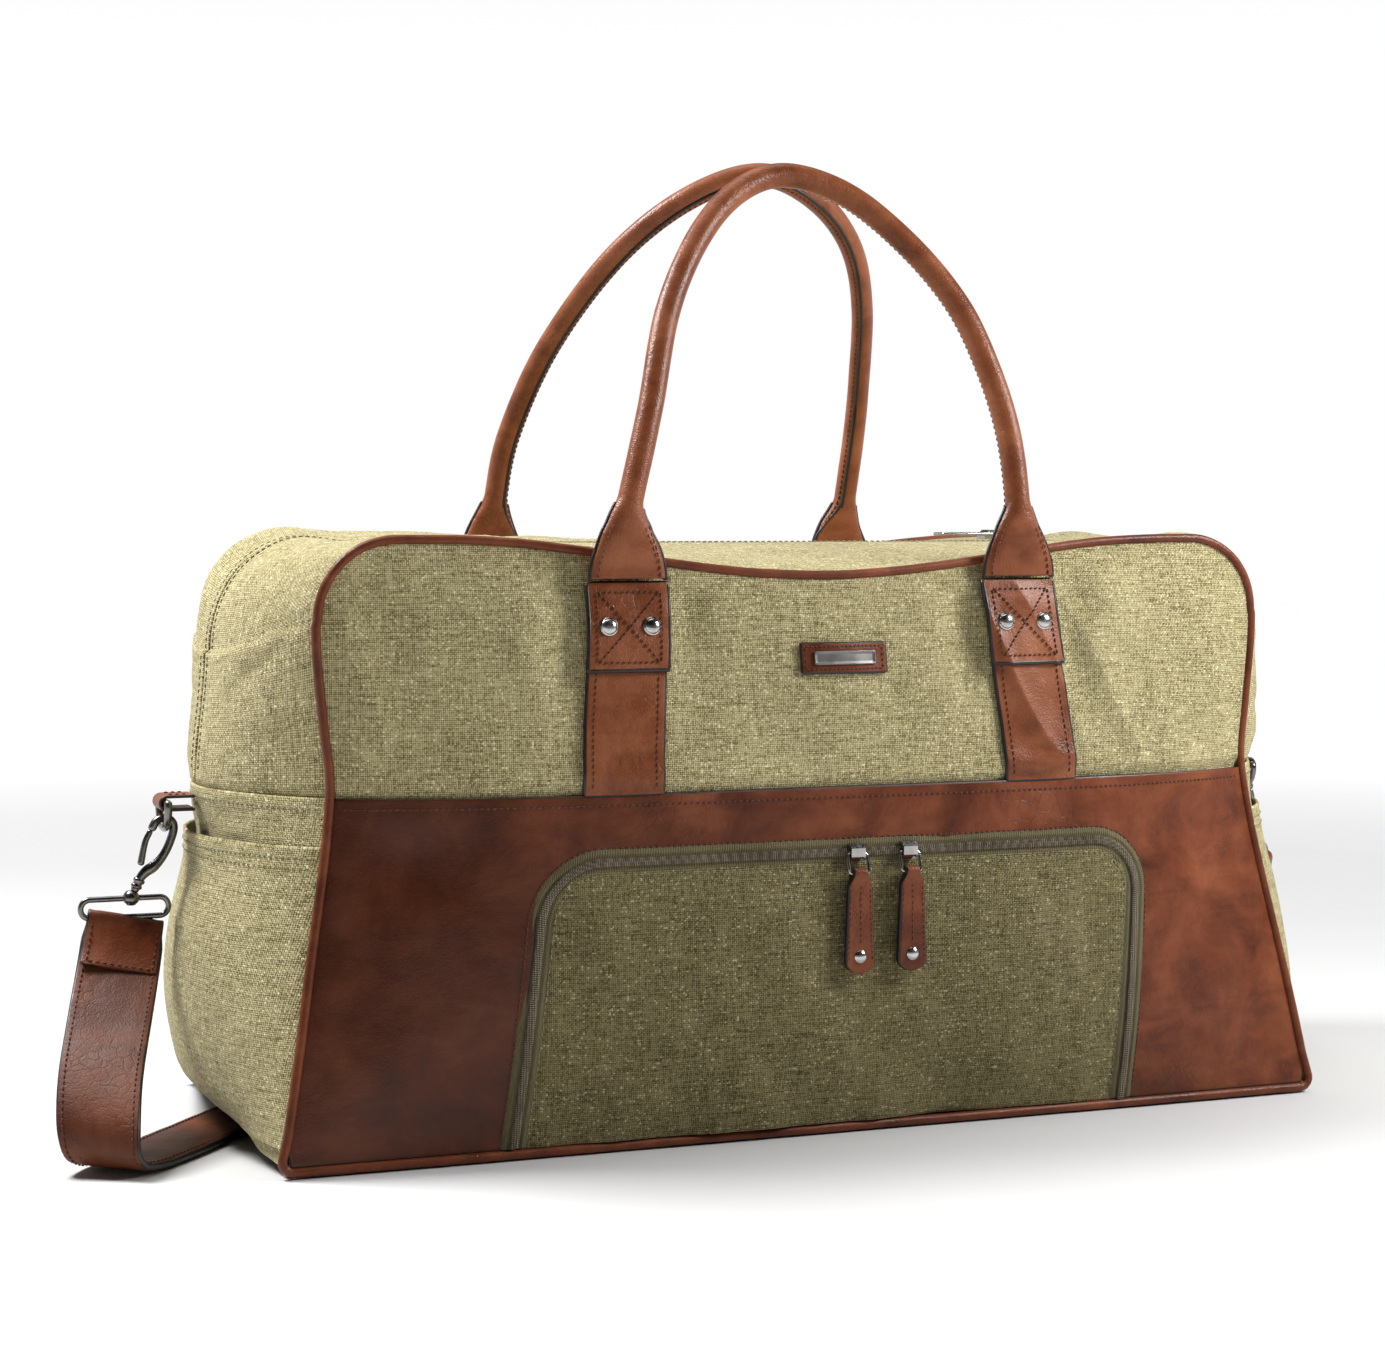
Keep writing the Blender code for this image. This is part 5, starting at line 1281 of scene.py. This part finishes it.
def build_handle(word, side, top_y, path):
    body = f"{word}_handle"
    foot_y = side * (HANDLE_AXIS_Y - 4.0 * MM)
    low, neck, crown = HANDLE_AXIS_Z + 0.2 * MM, path[0][1], max(z for _, z in path)
    ends = [(-TAB_X, low), (-TAB_X, low + 0.010), (-TAB_X, low + 0.022)]
    route = ends + path + [(-x, z) for x, z in ends[::-1]]
    line = resample([(x, 0.0, z) for x, z in route], 420)
    z = line[:, 2]
    flat = 1.0 - smoothstep((z - low) / (neck - low))
    wide = GRIP_RADIUS + (STRIP_WIDTH / 2 - GRIP_RADIUS) * flat ** 0.75
    deep = GRIP_RADIUS - 3.3 * MM * flat
    lean = smoothstep((z - low - 0.01) / (crown - low) * 0.5) * 2
    C = np.stack([line[:, 0], foot_y + (top_y - foot_y) * lean, z], 1)
    T = directions(line)
    A = np.stack([T[:, 2], 0 * z, -T[:, 0]], 1)
    B = np.broadcast_to(np.array([0.0, 1.0, 0.0]), C.shape)
    sides = 40
    angle = 2 * math.pi * np.arange(sides) / sides
    square = flat[:, None] * 0.9
    ca, sa = np.cos(angle)[None], np.sin(angle)[None]
    power = 1 - 0.55 * square
    section = np.stack([wide[:, None] * np.sign(ca) * np.abs(ca) ** power,
                        deep[:, None] * np.sign(sa) * np.abs(sa) ** (1 - 0.25 * square)], 2)
    arc = np.cumsum(np.concatenate([[0], np.linalg.norm(np.diff(C, axis=0), axis=1)]))
    ripple = 1 + 0.022 * folds(arc[:, None] + 0 * ca, angle[None] * 0.01, 0.03, 11)
    sweep(f"{word}_handle_leather", C, A, B, section * ripple[..., None], "handle_leather", body,
          stands_for=(body,))
    # the roll's painted seam runs along the side that faces the other handle
    inside = -side
    seam_angle = math.radians(58)
    grip = (flat < 0.55)
    spread = np.clip(flat / 0.55, 0, 1)
    for hand in (-1, 1):
        over_a = np.cos(seam_angle) * wide * (1 - spread) + hand * 0.96 * wide * spread
        over_b = inside * (np.sin(seam_angle) * deep * (1 - spread) + 0.25 * deep * spread)
        rows = C + A * over_a[:, None] + B * over_b[:, None]
        tube(f"{word}_handle_seam_{'right' if hand > 0 else 'left'}", even(rows, 400), 0.95 * MM,
             (0, 1, 0.001),
             "edge_paint", body, sides=8)
    stitch_angle = seam_angle - 0.42
    seam_row = C + A * (np.cos(stitch_angle) * wide)[:, None]
    seam_row = seam_row + B * (inside * np.sin(stitch_angle) * deep)[:, None]
    out = unit(seam_row - C)
    sew((body, None, "brown_thread"), seam_row[grip] + out[grip] * 0.05 * MM, out[grip], pitch=3.0 * MM)
    # painted side edges of the flattened feet, and the stitches along them
    for end in (-1, 1):
        pick = (np.sign(C[:, 0]) == end) & (z < neck - 0.004)
        for hand in (-1, 1):
            rim = C[pick] + A[pick] * (hand * wide[pick])[:, None]
            tube(f"{word}_flare_edge_{'left' if end < 0 else 'right'}_{'a' if hand < 0 else 'b'}",
                 even(rim, 60), 1.05 * MM, (0, 1, 0.001), "edge_paint", body, sides=8)
        foot = (np.sign(C[:, 0]) == end) & (z < low + 0.026)
        for hand in (-0.82, 0.82):
            row = C[foot] + A[foot] * (hand * wide[foot])[:, None]
            row = row + B[foot] * (side * deep[foot] * 0.93)[:, None]
            sew((body, None, "brown_thread"), row, (0, side, 0), pitch=2.9 * MM)


# ---------------------------------------------------------------- front pocket

def build_pocket():
    bands = (("pocket_zip_outer", 0.2 * MM, 5.0 * MM, "base"),
             ("pocket_zip_inner", 6.3 * MM, 11.2 * MM, "pocket_flap"))
    for name, near, far, body in bands:
        t = np.linspace(0, 1, 9)[:, None, None]
        grid = pocket_path(near)[None] * (1 - t) + pocket_path(far)[None] * t
        s = t[..., 0]
        ridge = 0.55 * MM * np.exp(-((s - (0.35 if body == "base" else 0.65)) / 0.16) ** 2)
        y = -face(grid[..., 0], grid[..., 1]) - 0.2 * MM - ridge
        P = np.stack([grid[..., 0], y, grid[..., 1]], 2)
        shell(f"{name}_tape", P, 1.4 * MM, "zip_tape", body, outward=(0, -1, 0), stands_for=(name,))
        middle = even(pocket_path(4.85 * MM if body == "base" else 6.45 * MM), 560)
        T2 = unit(np.gradient(middle, axis=0))
        tangent = np.stack([T2[:, 0], 0 * T2[:, 0], T2[:, 1]], 1)
        across = np.stack([-T2[:, 1], 0 * T2[:, 0], T2[:, 0]], 1)
        if body != "base":
            middle = middle + 0.5 * 1.1 * MM * T2
        centres = np.stack([middle[:, 0], -face(middle[:, 0], middle[:, 1]) - 1.15 * MM, middle[:, 1]], 1)
        out = np.broadcast_to(np.array([0.0, -1.0, 0.0]), centres.shape)
        blocks(f"{name}_coil", centres, across, tangent, out, (2.2 * MM, 0.66 * MM, 1.1 * MM), "zip_coil",
               body)
    inset, foot = FLAP_INSET, FLAP_FOOT
    half, radius = POCKET_HALF - inset, POCKET_CORNER - inset
    bend = np.sin(np.linspace(0, math.pi / 2, 18)[1:]) * radius
    u = np.concatenate([-(half - radius + bend)[::-1], np.linspace(-(half - radius), half - radius, 190),
                        half - radius + bend]) / half
    v = np.linspace(0, 1, 92)[:, None]
    top = round_top(u * half, half, POCKET_TOP - inset, radius)[None]
    z = foot + v * (top - foot)
    x = pocket_lean(u[None] * half, z)

    def at(x, z, extra=0.0):
        s = (x - pocket_lean(0.0, z)) / half
        h = np.clip((z - foot) / (POCKET_TOP - inset - foot), 0, 1)
        rim = np.minimum(half - np.abs(x - pocket_lean(0.0, z)), POCKET_TOP - inset - z)
        calm = smoothstep(rim / 0.022)
        swell = 3.0 * MM * np.sin(math.pi * h) ** 0.7 * (1 - s ** 4)
        soft = 4.2 * MM * folds(x * 1.3 + z * 0.5, z * 0.8, 0.085, 103)
        soft = soft + 1.5 * MM * folds(x * 1.7, z * 0.6, 0.034, 107)
        under_pulls = np.exp(-((x - SLIDER_MIDDLE) / 0.028) ** 2) * smoothstep((z - 0.062) / 0.02)
        soft = soft * (1 - under_pulls) - 1.2 * MM * under_pulls
        soft = soft + 0.5 * MM * smoothstep(1 - rim / 0.004)
        out = face(x, z) + swell + soft * calm + 0.5 * MM * smoothstep(rim / 0.002) + extra
        return np.stack([x, -out, z], -1)
    shell("pocket_flap_canvas", at(x, z), 1.8 * MM, ("dark_canvas", "dark_canvas", "lining"), "pocket_flap",
          outward=(0, -1, 0), stands_for=("pocket_flap",),
          coords=np.stack([x, z, 0 * x], 2))
    hem = pocket_path(inset + 2.6 * MM, 0.012)
    sew(("pocket_flap", None, "olive_thread"), at(hem[:, 0], hem[:, 1], 0.1 * MM), (0, -1, 0),
        pitch=3.2 * MM,
        radius=0.33 * MM)


def build_pull(hand, word):
    x = SLIDER_MIDDLE + hand * SLIDER_GAP / 2
    z = POCKET_TOP - 5.7 * MM
    back = -float(face(x, z)) - 0.6 * MM - GAP
    front = back - 5.2 * MM
    eye_y, eye_z = front + 2.1 * MM, z - 0.6 * MM
    half, corner, bar_z = 5.0 * MM, 1.5 * MM, eye_z - 9.0 * MM
    loop = []
    for cx, cz, start in ((1, eye_z - corner, 90), (1, bar_z + corner, 0),
                          (-1, bar_z + corner, -90), (-1, eye_z - corner, -180)):
        for k in range(8):
            a = math.radians(start - 90 / 7 * k)
            down = cz + corner * math.sin(a)
            loop.append((x + cx * (half - corner) + corner * math.cos(a),
                         eye_y - RING_TILT * (eye_z - down) / (eye_z - bar_z), down))
    tube(f"pocket_ring_wire_{word}", np.array(loop), 0.75 * MM,
         unit(np.array((0, eye_z - bar_z, -RING_TILT))),
         "nickel", f"pocket_ring_{word}", sides=12, closed=True, stands_for=(f"pocket_ring_{word}",))
    bar_y = eye_y - RING_TILT
    drop = 47.0 * MM
    body = f"pocket_pull_{word}"
    # two plies folded over the ring and sewn flat together
    n = 70
    down = np.linspace(0, 1, n)
    s = -drop * down
    taper = 3.8 * MM + 2.2 * MM * smoothstep(down * drop / 6 / MM) + 1.9 * MM * down
    close = (1 - down) * drop
    rounded = np.sqrt(np.clip(1 - np.clip(1 - close / 5.5 / MM, 0, 1) ** 2, 0.02, 1))
    width = taper * rounded
    thick = 1.65 * MM + 1.05 * MM * np.exp(-(down * drop / 4.2 / MM) ** 2)
    top = np.array([[x, bar_y, bar_z + 2.6 * MM * math.cos(a)] for a in np.radians([0, 25, 50, 75])])
    C = np.concatenate([top, np.stack([np.full(n, x), np.full(n, bar_y), bar_z + s], 1)])
    width = np.concatenate([np.full(4, 3.5 * MM), width])
    thick = np.concatenate([2.7 * MM * np.sin(np.radians([8, 35, 60, 80])), thick])
    section, marks = ribbon_section(2.0, 2.0, 0.12, 0.05, 13)
    profile = np.stack([section[None, :, 0] * width[:, None], section[None, :, 1] * thick[:, None]], 2)
    sweep(f"pocket_pull_leather_{word}", C, (1, 0, 0), (0, -1, 0), profile, ("leather", "edge_paint"), body,
          marks=marks, stands_for=(f"pocket_pull_{word}",))
    row = np.array([(x, bar_y - 1.72 * MM, bar_z - d) for d in np.linspace(5 * MM, 33 * MM, 20)])
    sew((body, None, "brown_thread"), row, (0, -1, 0), pitch=2.6 * MM, length=1.8 * MM, radius=0.36 * MM)
    for sgn in (-1, 1):
        d = np.linspace(4 * MM, 41 * MM, 30)
        row = np.stack([x + sgn * (4.6 * MM + 1.8 * MM * d / drop), np.full(30, bar_y - 1.66 * MM),
                        bar_z - d], 1)
        sew((body, None, "brown_thread"), row, (0, -1, 0), pitch=2.6 * MM, length=1.7 * MM, radius=0.3 * MM)
    profile = [(0.0001, -0.4), (3.2, -0.4), (3.3, 0.1), (3.0, 0.35), (2.6, 0.75), (1.8, 1.25), (0.9, 1.5),
               (0.0001, 1.56)]
    revolve(f"pocket_pull_cap_{word}", (x, bar_y - 1.9 * MM - 0.9 * MM + 1.0 * MM, bar_z - drop + 8 * MM),
            (0, -1, 0), np.array(profile) * MM, "nickel", body, stands_for=(f"pocket_pull_rivet_{word}",))


# ---------------------------------------------------------------- metalwork

def build_main_pull():
    x, eye_z = 0.140, ZIP_TOP_Z + 1.0 * MM + 5.0 * MM - 2.1 * MM
    half, corner, reach = 6.2 * MM, 2.0 * MM, 28.0 * MM
    loop = []
    for cx, cy, start in ((x - corner, half - corner, 0), (x - reach, half - corner, 90),
                          (x - reach, -half + corner, 180), (x - corner, -half + corner, 270)):
        for k in range(9):
            a = math.radians(start + 90 / 8 * k)
            loop.append((cx + corner * math.cos(a), cy + corner * math.sin(a), eye_z))
    tube("main_pull_wire", np.array(loop), 0.85 * MM, (0, 0, 1), "nickel", "main_pull", sides=12,
         closed=True,
         stands_for=("main_pull",))


def build_hardware(side, word):
    bar = np.array([side * RING_X, 0, RING_BAR_Z])
    wrap, inward, root = 3.1 * MM, -side, side * CHAPE_ROOT_X
    a = np.linspace(0, math.pi, 26)
    path = [(root, RING_BAR_Z + wrap)]
    path += [(bar[0] + inward * d, RING_BAR_Z + wrap) for d in (8 * MM, 4 * MM)]
    path += [(bar[0] - inward * wrap * math.sin(t), RING_BAR_Z + wrap * math.cos(t)) for t in a]
    path += [(bar[0] + inward * d, RING_BAR_Z - wrap) for d in (4 * MM, 8 * MM)]
    path += [(root, RING_BAR_Z - wrap)]
    path = even(np.array([(px, 0.0, pz) for px, pz in path]), 70)
    y = np.linspace(-8 * MM, 8 * MM, 22)[:, None]
    P = np.stack([path[:, 0][None] + 0 * y, y + 0 * path[:, 0][None], path[:, 2][None] + 0 * y], 2)
    shell(f"{word}_chape_leather", P, 1.5 * MM, ("leather", "edge_brown", "leather"), "base",
          centre=tuple(bar), shift=0.75 * MM, stands_for=(f"{word}_chape",))
    for hand in (-5.6 * MM, 5.6 * MM):
        level = RING_BAR_Z + wrap + 0.85 * MM
        row = [(bar[0] + inward * d, hand, level) for d in np.linspace(0.5 * MM, 10 * MM, 8)]
        sew(BROWN_BASE, row, (0, 0, 1), pitch=2.6 * MM)

    half, drop = 11.5 * MM, RING_BAR_Z - RING_BOW_Z
    t = np.linspace(0, math.pi, 50)
    bow = np.stack([np.full(50, bar[0]), half * np.cos(t), RING_BAR_Z - drop * np.sin(t) ** 0.8], 1)
    straight = np.array([(bar[0], yy, RING_BAR_Z) for yy in np.linspace(-half, half, 14)[1:-1]])
    tube(f"{word}_d_ring_wire", np.concatenate([bow, straight]), 1.9 * MM, (1, 0, 0), "gunmetal",
         f"{word}_d_ring", sides=16, closed=True, stands_for=(f"{word}_d_ring",))

    lean = HOOK_LEAN[side]
    origin = np.array([side * RING_X, 0, RING_BOW_Z])
    along = np.array([side * math.sin(lean), 0, -math.cos(lean)])
    across = np.array([-side * math.cos(lean), 0, -math.sin(lean)])

    def place(p, q):
        return origin + across * (p * MM) + along * (q * MM)
    body = [(-5.0, 2.2), (-4.6, -1.4), (-2.6, -3.9), (0.2, -4.6), (3.0, -3.5), (4.6, -0.6), (5.3, 4.0),
            (5.5, 9.0), (4.9, 14.0), (3.3, 18.6), (1.2, 22.0), (0.0, 26.0), (0.0, 31.6)]
    C = resample([place(p, q) for p, q in body], 110)
    q = ((C - origin) @ along) / MM
    beak = smoothstep(-q / 4) * (((C - origin) @ across) < 0)
    radius = (2.05 + 0.6 * np.exp(-((q - 20) / 4.5) ** 2) - 0.35 * beak) * MM
    tube(f"{word}_hook_body", C, radius, (0, 1, 0), "gunmetal", f"{word}_snap_hook", sides=18,
         stands_for=(f"{word}_snap_hook",))
    shank = [(0.0001, 26.4), (2.6, 26.4), (2.8, 26.9), (2.8, 27.9), (2.2, 28.4), (2.2, 29.2), (2.7, 29.7),
             (2.7, 30.6), (2.2, 31.2), (0.0001, 31.4)]
    revolve(f"{word}_hook_collar", origin, along, np.array(shank) * MM, "gunmetal", f"{word}_snap_hook")
    gate = resample([place(p, qq) for p, qq in ((-5.2, 4.6), (-5.1, 10), (-2.8, 19.4))], 40)
    tube(f"{word}_gate_bar", gate, np.linspace(1.4, 1.7, 40) * MM, (0, 1, 0), "gunmetal",
         f"{word}_hook_gate",
         sides=14, stands_for=(f"{word}_hook_gate",))
    ball = origin + along * BALL_DROP
    wide, tall, corner = 20.5 * MM, 4.4 * MM, 4.2 * MM
    spread = np.array([math.cos(SWIVEL_TURN[side]), math.sin(SWIVEL_TURN[side]), 0])
    middle = np.array([ball[0] + side * SWIVEL_OUT, 0, ball[2] - 4.6 * MM])
    oval = []
    for end, start in ((1, -90), (-1, 90)):
        for k in range(22):
            angle = math.radians(start + 180 / 21 * k)
            oval.append(middle + spread * (end * (wide - corner) + corner * math.cos(angle))
                        + np.array([0, 0, tall * math.sin(angle)]))
    oval = np.array(oval)
    fine = []
    for k in range(len(oval)):
        a_, b_ = oval[k], oval[(k + 1) % len(oval)]
        steps = max(int(np.linalg.norm(b_ - a_) / 1.2 / MM), 1)
        fine += [a_ + (b_ - a_) * j / steps for j in range(steps)]
    tube(f"{word}_swivel_wire", np.array(fine), 1.4 * MM, np.cross(spread, (0, 0, 1)), "gunmetal",
         f"{word}_hook_swivel", sides=14, closed=True, stands_for=(f"{word}_hook_swivel",))
    knob = [(0.0001, -3.4), (1.9, -3.3), (2.5, -2.9), (3.3, -2.0), (3.9, -0.9), (4.1, 0.2), (3.9, 1.2),
            (3.3, 2.2),
            (2.4, 3.0), (2.0, 3.5), (0.0001, 3.6)]
    revolve(f"{word}_swivel_knob", ball, (0, 0, -1), np.array(knob) * MM, "gunmetal", f"{word}_hook_swivel")


build_bands()
build_base()
build_ends()
build_linings()
build_lower_piping()
for direction, label in ((-1, "front"), (1, "back")):
    build_mouth(direction, label)
    build_fixings(direction, label)
build_badge()
build_handle("front", -1, -0.047, FRONT_GRIP)
build_handle("back", 1, -0.019, BACK_GRIP)
build_pocket()
build_pull(-1, "left")
build_pull(1, "right")
build_main_pull()
build_hardware(-1, "left")
build_hardware(1, "right")

# ---------------------------------------------------------------- carried-over CAD pieces and studio

def dress(node, look):
    item = frame["nodes"][node]
    for place in item.material_slots:
        place.material = LOOKS[look]


def build_studio():
    size = 7.0
    mesh = bpy.data.meshes.new("floor")
    rows = [(-size, -size), (size, -size), (size, size), (-size, size)]
    mesh.from_pydata([(x, y, -0.2 * MM) for x, y in rows], [], [(0, 1, 2, 3)])
    mesh.materials.append(LOOKS["floor"])
    floor = bpy.data.objects.new("floor", mesh)
    bpy.context.scene.collection.objects.link(floor)
    world = bpy.data.worlds.new("studio")
    world.use_nodes = True
    tree = world.node_tree
    # a bright band all round at eye level, brightest behind the bag, dimmer above and below
    where = tree.nodes.new("ShaderNodeTexCoord")
    parts = tree.nodes.new("ShaderNodeSeparateXYZ")
    tree.links.new(where.outputs["Generated"], parts.inputs[0])
    factors = []
    for socket, low, high, dim, bright in (("Y", -0.40, 0.75, 0.16, 1.0), ("Z", 0.44, 0.16, 0.10, 1.0)):
        spread = tree.nodes.new("ShaderNodeMapRange")
        spread.interpolation_type = "SMOOTHSTEP"
        for slot, value in ((1, low), (2, high), (3, dim), (4, bright)):
            spread.inputs[slot].default_value = value
        tree.links.new(parts.outputs[socket], spread.inputs[0])
        factors.append(spread.outputs[0])
    strength = tree.nodes.new("ShaderNodeMath")
    strength.operation = "MULTIPLY"
    tree.links.new(factors[0], strength.inputs[0])
    tree.links.new(factors[1], strength.inputs[1])
    background = tree.nodes["Background"]
    background.inputs[0].default_value = (1.0, 1.0, 1.0, 1.0)
    tree.links.new(strength.outputs[0], background.inputs[1])
    bpy.context.scene.world = world
    bpy.context.scene.view_settings.view_transform = "Standard"
    softboxes = (("end_box", (-0.66, 0.26, 1.02), (-0.28, 0.0, 0.24), 0.35, 18.0),
                 ("key_box", (0.62, -0.44, 0.64), (0.20, -0.12, 0.24), 0.30, 7.6))
    for name, place, aim, size, power in softboxes:
        data = bpy.data.lights.new(name, "AREA")
        data.shape = "SQUARE"
        data.size = size
        data.energy = power
        light = bpy.data.objects.new(name, data)
        bpy.context.scene.collection.objects.link(light)
        light.location = place
        light.rotation_euler = (Vector(aim) - Vector(place)).to_track_quat("-Z", "Y").to_euler()

    data = bpy.data.lights.new("ceiling", "SUN")
    data.energy = 1.3
    data.angle = math.radians(50)
    ceiling = bpy.data.objects.new("ceiling", data)
    bpy.context.scene.collection.objects.link(ceiling)
    ceiling.rotation_euler = (math.radians(-14), 0.0, 0.0)


build_studio()
for kept, kept_look in (("base_board", "board"), ("main_slider", "nickel"),
                        ("pocket_slider_left", "nickel"),
                        ("pocket_slider_right", "nickel"), ("strap_slide_loop", "gunmetal")):
    dress(kept, kept_look)
lay_stitches()
